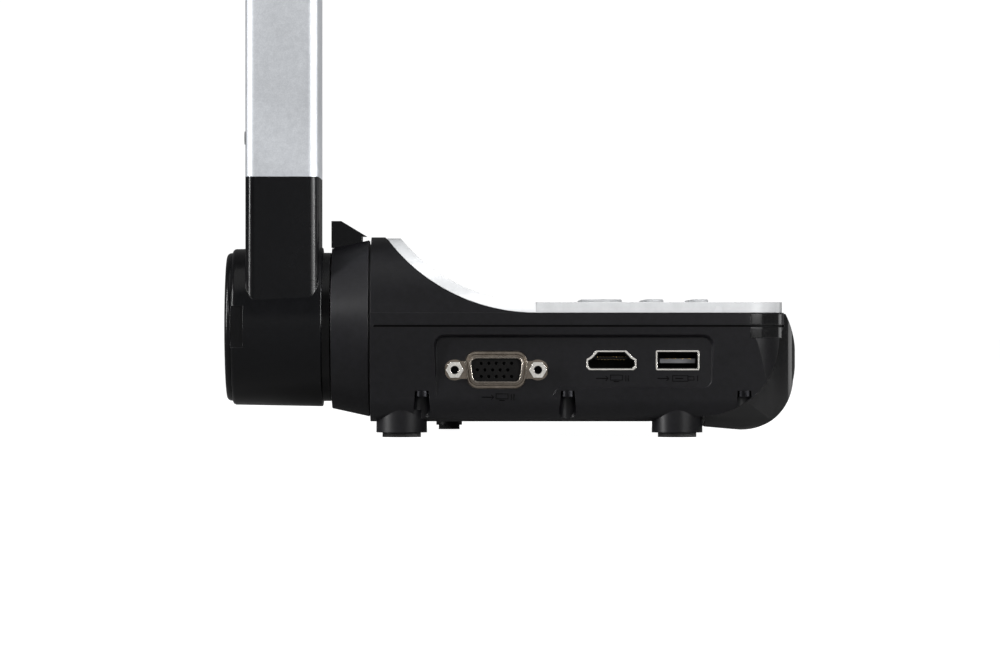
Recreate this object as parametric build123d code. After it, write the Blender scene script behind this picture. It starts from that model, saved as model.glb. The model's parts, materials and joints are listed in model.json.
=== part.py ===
from build123d import *
import os
from math import radians, sin, cos, sqrt

# Document camera on a flat base, in millimetres.  +X is the front, +Y the far side, +Z up.
# The drawing frame has x = 0 at the rear face of the neck, y = 0 on the swing axis and z = 0 on the
# table.  save() moves each piece so that the origin lies under the middle of the whole object.

# ---------------------------------------------------------------- driving dimensions
# Whole object
REAR_X = -44.6
FRONT_X = 262.0
NEAR_Y = -27.9
FAR_Y = 150.0

# Base
SIDE_Y = -27.3
BASE_FRONT_X = 124.9
SEAM_Z = 33.5
SEAM_GAP = 0.7
SEAM_DEPTH = 0.5
DECK_Z = 37.5
UNDER_Z = 4.7
WALL = 2.4
CORNER_R = 12.0
BOTTOM_R = 7.5
SIDE_LEAN = 2.3
FLOOR_END_X = 84.0
NOSE_ARC_R = 23.7
NOSE_ARC_X = 99.5
NOSE_ARC_Z = 30.0

# Neck hump and the concave slope down to the deck
AXIS_Z = 33.25
NECK_R = 27.3
NECK_TOP_X = 5.1
SLOPE_R = 56.4
SLOPE_X = 50.0
SLOPE_Z = 93.9
COVER_T = 3.2
COVER_TOP_Z = 60.2
COVER_INSET = 0.6
COVER_FRONT_X = 124.5

# Glossy nose
NOSE_FRONT_X = 128.8
NOSE_TAIL_X = 100.8
NOSE_TAIL_Z = 3.1
NOSE_LOW_Z = 2.1
NOSE_TOP_Z = 37.2
NOSE_LIP = 0.6
NOSE_LOW_X = 112.0
NOSE_BEND = (128.0, 16.9)
NOSE_FULL_Z = 26.0
NOSE_NEAR_Y = -19.5
NOSE_FAR_Y = 142.2
NOSE_CORNER_R = 16.0
NOSE_EDGE_R = 9.0

# Infrared window
WINDOW_X0 = 114.3
WINDOW_Y1 = -19.9
WINDOW_Z0 = 29.9
WINDOW_Z1 = 37.1
WINDOW_T = 1.3

# Socket panel on the near side
PANEL_Y = -25.0
PANEL_T = 2.4
PANEL_X0 = 20.0
PANEL_X1 = 102.6
PANEL_TOP_Z = 30.0
PANEL_LOW_Z = 9.4
PANEL_STEP_Z = 15.0
PANEL_STEP_X = 56.3
PANEL_CORNER_R = 2.5
PANEL_DRAFT = 25

# Standard connectors
VGA_X = 38.0
VGA_Z = 20.3
VGA_SCREW_PITCH = 25.0
VGA_RIM_W = 16.0
VGA_RIM_H = 7.9
VGA_FLANGE_Y = -24.2
VGA_RIM_Y = -27.6
VGA_CORNER_R = 2.2
VGA_RING_W = 18.5
VGA_RING_H = 11.0
VGA_RING_R = 3.2
VGA_RING_T = 0.6
VGA_MOAT = 0.7
VGA_MOAT_R = 2.6
VGA_CLEAR = 0.2
VGA_FLANGE_W = 31.0
VGA_FLANGE_H = 12.4
VGA_FLANGE_R = 1.5
VGA_FLANGE_T = 0.8
VGA_LOBE_R = 3.15
VGA_LOBE_H = 5.4
VGA_PITCH_X = 2.29
VGA_PITCH_Z = 1.98
VGA_HOLE_R = 0.5
VGA_HOLE_DEPTH = 2.0
VGA_REAR_Y = -14.0
VGA_REAR_W = 20.0
VGA_REAR_H = 10.0
JACK_HEX_R = 2.7
JACK_THREAD_R = 1.25
JACK_SHANK_R = 1.4
JACK_PASS_R = 1.5
JACK_END_Y = -20.0
JACK_BORE = 5.0
HDMI_X = 72.6
HDMI_W = 15.0
HDMI_H = 5.9
HDMI_FOOT = 0.8
HDMI_SHOULDER = (1.2, 1.9)
HDMI_SLANT = (3.0, 2.6)
HDMI_DEPTH = 11.0
HDMI_TONGUE_W = 9.9
HDMI_TONGUE_T = 0.8
HDMI_TONGUE_UP = 0.6
HDMI_TONGUE_BACK = 2.0
USB_X = 92.5
USB_W = 13.1
USB_H = 6.0
USB_DEPTH = 14.0
USB_CORNER_R = 0.5
USB_TONGUE_W = 10.6
USB_TONGUE_T = 1.3
USB_TONGUE_DOWN = 0.2
USB_TONGUE_BACK = 1.5
SOCKET_Z = 23.2
SOCKET_FRONT_Y = -25.2
SHEET = 0.45

# Far side sockets
DC_X = 28.0
DC_W = 9.0
DC_H = 11.0
DC_BORE_R = 2.9
DC_PIN_R = 1.0
DC_DEPTH = 12.0
HDMI_OUT_X = 60.0
FAR_SOCKET_Z = 22.0

# Case screws in their side wells
WELL_R = 2.6
WELL_HEAD_R = 2.0
WELL_HEAD_T = 1.8
WELL_CLEAR = 0.6
SLOT_HALF_L = 1.4
SLOT_HALF_W = 0.4
WELL_Y = -23.6
WELL_XS = (15.6, 59.5, 112.6)
WELL_TOP_Z = 14.0
FAR_WELL_XS = (15.6, 104.0)
FAR_WELL_Y = 146.3
WELL_BOSS_R = 4.6
WELL_BOSS_TOP_Z = 17.6
SCREW_R = 1.0
SLIDE_FIT = 0.3

# Feet
NEAR_FEET = ((9.4, -16.2), (92.6, -16.2))
FAR_FEET = ((22.5, 130.0), (95.0, 130.0))
NEAR_BOSS_R = 7.65
FAR_BOSS_R = 4.2
NEAR_PAD_R = 5.8
FAR_PAD_R = 3.4
PAD_T = 1.4

# Boards and ballast
BALLAST_PLAN = (11.0, 83.0, -8.0, 138.0)
BALLAST_Z = 7.4
BALLAST_T = 5.0
BOARD_Z = 18.4
BOARD_T = 1.6
POSTS = ((20.0, 30.0), (100.0, 30.0), (20.0, 118.0), (100.0, 118.0))
POST_R = 2.6
BALLAST_CLEAR = 0.5
BOARD_PLAN = (10.0, 112.0, -13.0, 132.0)
BOARD_TAB = (64.6, 107.0, -21.5, -12.0)

# Keys on the deck: three across in each of three rows
KEY_YS = (31.0, 61.0, 91.0)
ROUND_KEY_X = 70.4
ROUND_KEY_R = 6.5
MID_KEY_X = 86.7
MID_KEY_W = 5.8
FRONT_KEY_X = 100.9
FRONT_KEY_W = 5.0
KEY_LEN = 18.0
KEY_TOP_Z = 41.8
KEY_FLANGE_Z = 36.3
KEY_FLANGE_T = 0.9
KEY_FLANGE_LIP = 1.1
KEY_GAP = 0.3
KEY_STEM_Z = 35.0
KEY_STEM_R = 1.5
KEY_WINDOW = (58.5, 107.5, 17.0, 105.0)
KEY_BOARD_Z = 29.9
SWITCH_TOP_Z = 34.1
SWITCH_W = 6.0
SWITCH_LID = 0.6
SWITCH_BUTTON_R = 1.7
KEY_EDGE_R = 0.5

# Collar, latch and swing joint
COLLAR_REAR_X = -11.9
COLLAR_FRONT_X = -0.6
COLLAR_REAR_R = 24.8
COLLAR_CAVITY_R = 20.0
COLLAR_BACK_T = 2.9
LATCH_HALF_W = 7.0
LATCH_REAR_X = -12.1
LATCH_FLAT_X = -9.1
LATCH_TIP_X = -1.4
LATCH_TOP_Z = 65.4
LATCH_TIP_Z = 60.75
LATCH_BLOCK_X = -2.8
LATCH_FLOOR_Z = 57.3
STEM_X0 = -8.3
STEM_X1 = -5.2
STEM_HALF_W = 2.7
STEM_LOW_Z = 47.6
PIN_Z = 51.25
PIN_R = 2.0
PIN_TIP_X = -14.1
SHAFT_R = 6.0
BUSH_R = 8.0
RUNNING_FIT = 0.05
BRACKET_X0 = 3.2
BRACKET_T = 4.0
SHAFT_END_X = 16.0
SHAFT_FLANGE_R = 15.0
SHAFT_FLANGE_T = 3.0
BRACKET_HALF_W = 17.0
BRACKET_FOOT_X = 34.0
BRACKET_FOOT_Y = -7.5
BRACKET_FOOT_T = 3.0
BUSH_FLANGE = 2.0
BUSH_FLANGE_T = 1.5
NUT_R = 11.0
NUT_T = 6.0
NUT_GAP = 0.3
SPRING_WIRE_R = 0.25
SPRING_R = 1.5
SPRING_TURNS = 4

# Drum and arm sleeve
DRUM_FRONT_X = -14.7
DRUM_CAP_X = -42.2
DRUM_EDGE_R = 1.2
DRUM_LIP_R = 0.4
DRUM_FRONT_R = 24.2
DRUM_REAR_R = 23.7
DRUM_BORE_R = 20.5
DRUM_WALL_X = -19.5
HUB_R = 22.6
HUB_FRONT_X = -12.3
DISC_R = 21.6
DISC_T = 2.0
ARM_X0 = -37.7
ARM_X1 = -15.6
ARM_HALF_Y = 22.4
ARM_CORNER_R = 3.0
SLEEVE_TOP_Z = 78.5
TUBE_WALL = 1.8
TENON_LEN = 24.0
ARM_SCREW_Y = 10.0
ARM_SCREW_HEAD_T = 0.6
CAP_BULGE = 0.7
CAP_EDGE_R = 1.4
NOTCH_X0 = -42.2
NOTCH_X1 = -38.4
NOTCH_Z0 = 27.0
NOTCH_Z1 = 39.5
NOTCH_DEPTH = 1.6

# Elbow, upper arm and head
ELBOW_X = 2.0
ELBOW_Z = 450.0
FORK_R = 13.0
FORK_BASE_Z = 425.0
FORK_REAR_R = 10.0
FORK_INNER_Y = 15.0
KNUCKLE_R = 12.0
PIVOT_R = 3.0
PIVOT_HEAD_R = 6.0
PIVOT_HEAD_T = 1.0
ARM2_HALF_Y = 14.7
ARM2_HALF_Z = 7.5
ARM2_WALL = 1.4
ARM2_X0 = 20.0
ARM2_X1 = 168.0
HEAD_PIN_X = 182.0
TONGUE_HALF_Y = 6.0
TONGUE_R = 7.0
EAR_R = 8.0
EAR_GAP = 0.4
HEAD_X0 = 191.0
HEAD_HALF_Y = 26.0
HEAD_LOW = 15.0
HEAD_SPLIT = 8.0
HEAD_HIGH = 13.0
HEAD_CORNER_R = 12.0
HEAD_WALL = 2.0
HEAD_TOP_R = 4.0
HEAD_LOW_R = 3.0
LENS_X = 227.0
LENS_R = 11.0
GLASS_R = 8.0
GLASS_RIM = 1.0
GLASS_UP = 1.4
GLASS_TOP = 3.6
GLASS_DOME_R = 30.0
BARREL_UP = 0.4
BARREL_TOP = 9.0
SENSOR_PLAN = (207.0, 251.0, -18.0, 18.0)
LAMP_X = 249.0
LAMP_W = 8.0
LAMP_LEN = 24.0
LAMP_UP = 0.3
LAMP_TOP = 3.0

EPS = 1.0
BIG = 400.0

CENTRE = Location((-(REAR_X + FRONT_X) / 2, -(NEAR_Y + FAR_Y) / 2, 0))


# ---------------------------------------------------------------- helpers
def save(shape, name):
    export_step(CENTRE * shape, f"parts/{name}.step")


def block(x0, x1, y0, y1, z0, z1):
    middle = Pos((x0 + x1) / 2, (y0 + y1) / 2, (z0 + z1) / 2)
    return middle * Box(x1 - x0, y1 - y0, z1 - z0)


def rod_x(radius, x0, x1, y=0.0, z=AXIS_Z):
    """Round bar along X."""
    return Pos((x0 + x1) / 2, y, z) * Rot(0, 90, 0) * Cylinder(radius, x1 - x0)


def rod_y(radius, y0, y1, x, z):
    """Round bar along Y."""
    return Pos(x, (y0 + y1) / 2, z) * Rot(90, 0, 0) * Cylinder(radius, y1 - y0)


def rod_z(radius, z0, z1, x, y):
    """Round bar along Z."""
    return Pos(x, y, (z0 + z1) / 2) * Cylinder(radius, z1 - z0)


def along_y(face, y0, y1):
    """Extrude a face drawn in XZ, from y0 to y1."""
    return Pos(0, y1, 0) * extrude(Plane.XZ * face, y1 - y0)


def tube_z(half_x, half_y, corner, z0, z1, x, y=0.0):
    """Rounded rectangular bar along Z."""
    face = RectangleRounded(2 * half_x, 2 * half_y, corner)
    return Pos(x, y, z0) * extrude(face, z1 - z0)


def bar_x(half_y, half_z, corner, x0, x1, z):
    """Rounded rectangular bar along X."""
    face = Plane.YZ * RectangleRounded(2 * half_y, 2 * half_z, corner)
    return Pos(x0, 0, z) * extrude(face, x1 - x0)


def largest(shape):
    return max(shape.solids(), key=lambda solid: solid.volume)


# ---------------------------------------------------------------- outer forms of the base
def plan_outline(inset):
    """Plan of the base: square at the near rear corner, under the neck, and rounded elsewhere."""
    x0, x1 = inset, BASE_FRONT_X - inset
    y0, y1 = SIDE_Y + inset, FAR_Y - inset
    r = CORNER_R - inset
    outline = (
        Line((x0, y0), (x1 - r, y0))
        + TangentArc((x1 - r, y0), (x1, y0 + r), tangent=(1, 0))
        + Line((x1, y0 + r), (x1, y1 - r))
        + TangentArc((x1, y1 - r), (x1 - r, y1), tangent=(0, 1))
        + Line((x1 - r, y1), (x0 + r, y1))
        + TangentArc((x0 + r, y1), (x0, y1 - r), tangent=(-1, 0))
        + Line((x0, y1 - r), (x0, y0))
    )
    return make_face(outline)


def plan_block(inset, z0, z1):
    return Pos(0, 0, z0) * extrude(plan_outline(inset), z1 - z0)


def slope_height(x, radius):
    """Height of the concave slope at x, for an arc of this radius about the slope's centre."""
    return SLOPE_Z - sqrt(radius**2 - (SLOPE_X - x) ** 2)


def under_slope(radius, z_low, z_top):
    """Everything below the neck top, the concave slope and the deck."""
    x_mid = (NECK_TOP_X + SLOPE_X) / 2
    start = (NECK_TOP_X, min(z_top, slope_height(NECK_TOP_X, radius)))
    deck = SLOPE_Z - radius
    outline = (
        Polyline((BIG, deck), (BIG, z_low), (-EPS, z_low), (-EPS, z_top), (NECK_TOP_X - EPS, z_top), start)
        + ThreePointArc(start, (x_mid, slope_height(x_mid, radius)), (SLOPE_X, deck))
        + Line((SLOPE_X, deck), (BIG, deck))
    )
    return along_y(make_face(outline), SIDE_Y - EPS, FAR_Y + EPS)


def upper_body(inset):
    """Outer form of the upper shell, drawn in by inset on every wall."""
    deck = DECK_Z - inset
    neck = rod_x(NECK_R - inset, inset, SLOPE_X) & block(0, SLOPE_X, -NECK_R, NECK_R, SEAM_Z, BIG)
    slab = plan_block(inset, SEAM_Z, deck)
    return (neck + slab) & under_slope(SLOPE_R + inset, SEAM_Z - inset, AXIS_Z + NECK_R)


def lower_side(inset):
    """Bottom and front of the lower shell, seen from the side."""
    z_low = UNDER_Z + inset
    r = NOSE_ARC_R - inset
    meet = NOSE_ARC_Z - r
    outline = (
        Polyline((BASE_FRONT_X, SEAM_Z), (0, SEAM_Z), (0, z_low), (FLOOR_END_X, z_low), (NOSE_ARC_X, meet))
        + TangentArc((NOSE_ARC_X, meet), (NOSE_ARC_X + r, NOSE_ARC_Z), tangent=(1, 0))
        + Line((NOSE_ARC_X + r, NOSE_ARC_Z), (BASE_FRONT_X, SEAM_Z))
    )
    return along_y(make_face(outline), SIDE_Y - EPS, FAR_Y + EPS)


def lower_section(inset):
    """Cross-section of the lower shell: sides that lean in, then round under."""
    y0, y1 = SIDE_Y + inset, FAR_Y - inset
    z0 = UNDER_Z + inset
    r = BOTTOM_R - inset
    lean0, lean1 = y0 + SIDE_LEAN, y1 - SIDE_LEAN
    outline = (
        Polyline((lean1, z0 + r), (y1, SEAM_Z), (y0, SEAM_Z), (lean0, z0 + r))
        + TangentArc((lean0, z0 + r), (lean0 + r, z0), tangent=(0, -1))
        + Line((lean0 + r, z0), (lean1 - r, z0))
        + TangentArc((lean1 - r, z0), (lean1, z0 + r), tangent=(1, 0))
    )
    return extrude(Plane.YZ * make_face(outline), BASE_FRONT_X)


def lower_body(inset):
    """Outer form of the lower shell, drawn in by inset on every wall."""
    return plan_block(inset, 0, SEAM_Z) & lower_side(inset) & lower_section(inset)


def seam_groove():
    """Shadow gap between the two shells."""
    z0 = SEAM_Z - SEAM_GAP / 2
    ring = plan_block(-EPS, z0, z0 + SEAM_GAP) - plan_block(SEAM_DEPTH, z0, z0 + SEAM_GAP)
    return ring & block(EPS, BIG, -BIG, BIG, 0, BIG)


def window_pocket():
    ring = plan_block(0, WINDOW_Z0, WINDOW_Z1) - plan_block(WINDOW_T, WINDOW_Z0, WINDOW_Z1)
    return ring & block(WINDOW_X0, BIG, -BIG, WINDOW_Y1, 0, BIG)


def shaft_hole():
    return rod_x(BUSH_R + 0.5, -EPS, WALL + EPS)


# ---------------------------------------------------------------- socket shapes, seen from the side
def vga_outline(width, height, corner):
    """Wide-topped D outline of the rim."""
    lean = height * sin(radians(10)) / cos(radians(10)) / 2
    top, low = width / 2 + lean / 2, width / 2 - lean
    corners = [(-low, -height / 2), (low, -height / 2), (top, height / 2), (-top, height / 2)]
    face = make_face(Polyline(*corners, close=True))
    return Pos(VGA_X, VGA_Z) * fillet(face.vertices(), corner)


def hdmi_outline(x, z, inset):
    """HDMI outline with its wide edge down."""
    w, h = HDMI_W / 2 - inset, HDMI_H / 2 - inset
    half = [(w - HDMI_FOOT, -h), (w, -h + HDMI_FOOT), (w, h - HDMI_SLANT[1])]
    half += [(w - HDMI_SHOULDER[0], h - HDMI_SHOULDER[1]), (w - HDMI_SLANT[0], h)]
    outline = half + [(-px, pz) for px, pz in reversed(half)]
    return Pos(x, z) * make_face(Polyline(*outline, close=True))


def panel_recess():
    """Shallow recess that holds the sockets; its floor steps up round the middle screw well."""
    points = [
        (PANEL_X0, PANEL_LOW_Z),
        (PANEL_STEP_X - 3, PANEL_LOW_Z),
        (PANEL_STEP_X, PANEL_STEP_Z),
        (PANEL_X1, PANEL_STEP_Z),
        (PANEL_X1, PANEL_TOP_Z),
        (PANEL_X0, PANEL_TOP_Z),
    ]
    face = make_face(Polyline(*points, close=True))
    face = fillet(face.vertices(), PANEL_CORNER_R)
    return Pos(0, PANEL_Y, 0) * extrude(Plane.XZ * face, 4, taper=-PANEL_DRAFT)


def vga_opening():
    """Opening that shows the rim, its raised ring and both jackscrews."""
    ring = vga_outline(VGA_RING_W + 2 * VGA_CLEAR, VGA_RING_H + 2 * VGA_CLEAR, VGA_RING_R + VGA_CLEAR)
    lobes = Pos(VGA_X, VGA_Z) * Rectangle(VGA_SCREW_PITCH, VGA_LOBE_H)
    for side in (-1, 1):
        lobes += Pos(VGA_X + side * VGA_SCREW_PITCH / 2, VGA_Z) * Circle(VGA_LOBE_R)
    front = along_y(ring + lobes, PANEL_Y - EPS, PANEL_Y + PANEL_T + EPS)
    half_x, half_z = VGA_FLANGE_W / 2 + VGA_CLEAR / 2, VGA_FLANGE_H / 2 + VGA_CLEAR
    back_y = PANEL_Y + PANEL_T + EPS
    seat = block(VGA_X - half_x, VGA_X + half_x, VGA_FLANGE_Y, back_y, VGA_Z - half_z, VGA_Z + half_z)
    return front + seat


def near_openings():
    y0, y1 = PANEL_Y - EPS, PANEL_Y + PANEL_T + EPS
    usb = Pos(USB_X, SOCKET_Z) * Rectangle(USB_W, USB_H)
    return vga_opening() + along_y(hdmi_outline(HDMI_X, SOCKET_Z, 0), y0, y1) + along_y(usb, y0, y1)


def far_openings():
    y0, y1 = FAR_Y - 3 * WALL, FAR_Y + EPS
    jack = Pos(DC_X, FAR_SOCKET_Z) * Rectangle(DC_W, DC_H)
    return along_y(jack, y0, y1) + along_y(hdmi_outline(HDMI_OUT_X, FAR_SOCKET_Z, 0), y0, y1)


# ---------------------------------------------------------------- base pieces
def screw_wells():
    near = [(x, WELL_Y) for x in WELL_XS]
    return near + [(x, FAR_WELL_Y) for x in FAR_WELL_XS]


def well(x, y):
    """Bore up to a case screw, which leaves the boss of the foot beside it whole."""
    place, boss_r, _ = feet()[0]
    return rod_z(WELL_R, 0, WELL_TOP_Z, x, y) - rod_z(boss_r, PAD_T, UNDER_Z + 1.5 * WALL, *place)


def feet():
    """Place, boss radius and pad radius of each foot."""
    near = [(place, NEAR_BOSS_R, NEAR_PAD_R) for place in NEAR_FEET]
    return near + [(place, FAR_BOSS_R, FAR_PAD_R) for place in FAR_FEET]


def lower_shell():
    body = lower_body(0)
    panel = block(PANEL_X0 - 3, PANEL_X1 + 3, SIDE_Y, PANEL_Y + PANEL_T, UNDER_Z + WALL, SEAM_Z)
    inner = lower_body(WALL) + plan_block(WALL, SEAM_Z - EPS, SEAM_Z + EPS)
    shell = body - (inner - panel)
    for place, boss_r, _ in feet():
        shell += rod_z(boss_r, PAD_T, UNDER_Z + 1.5 * WALL, *place)
    for place in screw_wells():
        shell += rod_z(WELL_BOSS_R, UNDER_Z, WELL_BOSS_TOP_Z, *place) & body
    for place in POSTS:
        shell += rod_z(POST_R, UNDER_Z + WALL, BOARD_Z, *place)
    for place in screw_wells():
        shell -= well(*place)
        shell -= rod_z(SCREW_R, WELL_TOP_Z, WELL_BOSS_TOP_Z + EPS, *place)
    shell -= panel_recess()
    shell -= near_openings() + far_openings()
    return shell - seam_groove() - window_pocket() - shaft_hole()


def upper_shell():
    inner = upper_body(WALL) + plan_block(WALL, SEAM_Z - EPS, SEAM_Z + EPS)
    inner += rod_x(NECK_R - WALL, WALL, NECK_TOP_X) & block(0, BIG, -BIG, BIG, SEAM_Z, AXIS_Z + NECK_R)
    shell = upper_body(0) - inner
    x0, x1, y0, y1 = KEY_WINDOW
    shell -= block(x0, x1, y0, y1, SEAM_Z, DECK_Z + EPS)
    for x in (x0 - POST_R, x1 + POST_R):
        for y in (y0 + 3 * POST_R, y1 - 3 * POST_R):
            shell += rod_z(POST_R, KEY_BOARD_Z + BOARD_T, DECK_Z - WALL / 2, x, y)
    return shell - seam_groove() - window_pocket() - shaft_hole()


def cover_band():
    """White skin that lies on the concave slope."""
    outer_r = SLOPE_R - COVER_T
    x_low = SLOPE_X - sqrt(SLOPE_R**2 - (SLOPE_Z - COVER_TOP_Z) ** 2)
    x_high = SLOPE_X - sqrt(outer_r**2 - (SLOPE_Z - COVER_TOP_Z) ** 2)
    x_mid = (x_low + SLOPE_X) / 2
    outline = (
        Line((x_high, COVER_TOP_Z), (x_low, COVER_TOP_Z))
        + ThreePointArc((x_low, COVER_TOP_Z), (x_mid, slope_height(x_mid, SLOPE_R)), (SLOPE_X, DECK_Z))
        + Line((SLOPE_X, DECK_Z), (SLOPE_X, DECK_Z + COVER_T))
        + ThreePointArc(
            (SLOPE_X, DECK_Z + COVER_T), (x_mid, slope_height(x_mid, outer_r)), (x_high, COVER_TOP_Z)
        )
    )
    return along_y(make_face(outline), -NECK_R, NECK_R) & rod_x(NECK_R - COVER_INSET / 2, 0, SLOPE_X)


def keys():
    """Node name, place and outline of each key, with room to grow by a margin."""
    names = (
        ("key_power", "key_source", "key_freeze"),
        ("key_zoom_out", "key_focus", "key_zoom_in"),
        ("key_previous", "key_menu", "key_next"),
    )
    found = []
    for column, y in enumerate(KEY_YS):
        found.append((names[0][column], ROUND_KEY_X, y, 2 * ROUND_KEY_R, 2 * ROUND_KEY_R))
        found.append((names[1][column], MID_KEY_X, y, MID_KEY_W, KEY_LEN))
        found.append((names[2][column], FRONT_KEY_X, y, FRONT_KEY_W, KEY_LEN))
    return found


def key_face(width, length, margin):
    if width == length:
        return Circle(width / 2 + margin)
    return RectangleRounded(width + 2 * margin, length + 2 * margin, width / 2 + margin - 0.1)


def top_cover():
    low, high = DECK_Z, DECK_Z + COVER_T
    deck = plan_block(COVER_INSET, low, high) & block(COVER_T, COVER_FRONT_X, -BIG, BIG, low, high)
    deck -= rod_x(NECK_R, -EPS, SLOPE_X) + block(-EPS, SLOPE_X, -BIG, 0, low - EPS, high + EPS)
    slab = plan_block(COVER_INSET, low, high) & block(SLOPE_X, COVER_FRONT_X, -BIG, BIG, low, high)
    cover = deck + slab + cover_band()
    for _, x, y, width, length in keys():
        cover -= Pos(x, y, low - EPS) * extrude(key_face(width, length, KEY_GAP), COVER_T + 2 * EPS)
    return cover


def key(x, y, width, length):
    cap_low = KEY_FLANGE_Z + KEY_FLANGE_T
    cap = Pos(x, y, cap_low) * extrude(key_face(width, length, 0), KEY_TOP_Z - cap_low)
    cap = fillet(cap.faces().sort_by(Axis.Z)[-1].edges(), KEY_EDGE_R)
    flange = Pos(x, y, KEY_FLANGE_Z) * extrude(key_face(width, length, KEY_FLANGE_LIP), KEY_FLANGE_T)
    return cap + flange + rod_z(KEY_STEM_R, KEY_STEM_Z, KEY_FLANGE_Z + KEY_FLANGE_T / 2, x, y)


def keypad_board():
    x0, x1, y0, y1 = KEY_WINDOW
    rim = 2.5 * POST_R
    return block(x0 - rim, x1 + rim, y0 - rim, y1 + rim, KEY_BOARD_Z, KEY_BOARD_Z + BOARD_T)


def key_switches():
    z0, z1 = KEY_BOARD_Z + BOARD_T, SWITCH_TOP_Z
    half = SWITCH_W / 2
    found = []
    for _, x, y, _, _ in keys():
        body = block(x - half, x + half, y - half, y + half, z0, z1 - SWITCH_LID)
        found.append(body + rod_z(SWITCH_BUTTON_R, z0, z1, x, y))
    return Compound(found)


def front_nose():
    """Glossy nose that wraps the front and the front part of the underside."""
    low, top = (NOSE_LOW_X, NOSE_LOW_Z), (BASE_FRONT_X + NOSE_LIP, NOSE_TOP_Z)
    tail_low, tail_top = (NOSE_TAIL_X, NOSE_TAIL_Z), (NOSE_TAIL_X, NOSE_TOP_Z)
    outline = (
        Line(tail_low, low)
        + TangentArc(low, NOSE_BEND, tangent=(1, 0))
        + ThreePointArc(NOSE_BEND, (NOSE_FRONT_X, NOSE_FULL_Z), top)
        + Polyline(top, tail_top, tail_low)
    )
    solid = along_y(make_face(outline), NOSE_NEAR_Y, NOSE_FAR_Y)
    length, width = NOSE_FRONT_X - NOSE_TAIL_X + 2 * NOSE_CORNER_R, NOSE_FAR_Y - NOSE_NEAR_Y
    plan = RectangleRounded(length, width, NOSE_CORNER_R)
    middle = Pos(NOSE_FRONT_X - length / 2, (NOSE_FAR_Y + NOSE_NEAR_Y) / 2, 0)
    solid &= middle * extrude(plan, DECK_Z)
    section = RectangleRounded(width, 2 * DECK_Z, NOSE_EDGE_R)
    solid &= extrude(Plane.YZ * Pos((NOSE_FAR_Y + NOSE_NEAR_Y) / 2, NOSE_LOW_Z + DECK_Z) * section, BIG)
    solid -= lower_body(0) + upper_body(0)
    solid -= window_pocket()
    for place in screw_wells():
        solid -= rod_z(WELL_R + WELL_CLEAR, 0, WELL_TOP_Z, *place)
    return largest(solid)


def case_screws():
    found = []
    for x, y in screw_wells():
        low = WELL_TOP_Z - WELL_HEAD_T
        head = rod_z(WELL_HEAD_R, low, WELL_TOP_Z, x, y)
        half_l, half_w = SLOT_HALF_L, SLOT_HALF_W
        slot = block(x - half_l, x + half_l, y - half_w, y + half_w, low - EPS, low + WELL_HEAD_T / 2)
        found.append(head - slot + rod_z(SCREW_R, WELL_TOP_Z, WELL_BOSS_TOP_Z + WELL_CLEAR, x, y))
    return Compound(found)


def ballast_plate():
    x0, x1, y0, y1 = BALLAST_PLAN
    plate = block(x0, x1, y0, y1, BALLAST_Z, BALLAST_Z + BALLAST_T)
    for place in POSTS:
        plate -= rod_z(POST_R + BALLAST_CLEAR, 0, BIG, *place)
    for place, boss_r, _ in feet():
        plate -= rod_z(boss_r + BALLAST_CLEAR, 0, BIG, *place)
    return plate


def main_board():
    """Board with the tab that reaches under the near sockets."""
    levels = (BOARD_Z, BOARD_Z + BOARD_T)
    return block(*BOARD_PLAN, *levels) + block(*BOARD_TAB, *levels)


# ---------------------------------------------------------------- sockets
def vga_shell():
    flange = RectangleRounded(VGA_FLANGE_W, VGA_FLANGE_H, VGA_FLANGE_R)
    shell = along_y(Pos(VGA_X, VGA_Z) * flange, VGA_FLANGE_Y, VGA_FLANGE_Y + VGA_FLANGE_T)
    ring = vga_outline(VGA_RING_W, VGA_RING_H, VGA_RING_R)
    ring -= vga_outline(VGA_RIM_W + 2 * VGA_MOAT, VGA_RIM_H + 2 * VGA_MOAT, VGA_MOAT_R)
    shell += along_y(ring, VGA_FLANGE_Y - VGA_RING_T, VGA_FLANGE_Y)
    shell += along_y(vga_outline(VGA_RIM_W, VGA_RIM_H, VGA_CORNER_R), VGA_RIM_Y, VGA_FLANGE_Y)
    inner = vga_outline(VGA_RIM_W - 2 * SHEET, VGA_RIM_H - 2 * SHEET, VGA_CORNER_R - SHEET)
    shell -= along_y(inner, VGA_RIM_Y - EPS, VGA_FLANGE_Y + 2 * EPS)
    for side in (-1, 1):
        shell -= rod_y(JACK_PASS_R, -BIG / 2, BIG / 2, VGA_X + side * VGA_SCREW_PITCH / 2, VGA_Z)
    return shell


def vga_insert():
    """Insulator with fifteen contact holes in three rows."""
    front = vga_outline(VGA_RIM_W - 2 * SHEET, VGA_RIM_H - 2 * SHEET, VGA_CORNER_R - SHEET)
    face_y, rear_y = VGA_RIM_Y + SHEET, VGA_FLANGE_Y + VGA_FLANGE_T
    half_x, half_z = VGA_REAR_W / 2, VGA_REAR_H / 2
    insert = along_y(front, face_y, rear_y)
    insert += block(VGA_X - half_x, VGA_X + half_x, rear_y, VGA_REAR_Y, VGA_Z - half_z, VGA_Z + half_z)
    for row, shift in enumerate((0.0, -VGA_PITCH_X / 2, 0.0)):
        for column in range(5):
            x, z = VGA_X + (column - 2) * VGA_PITCH_X + shift, VGA_Z + (row - 1) * VGA_PITCH_Z
            insert -= rod_y(VGA_HOLE_R, face_y - EPS, face_y + VGA_HOLE_DEPTH, x, z)
    return insert


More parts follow.
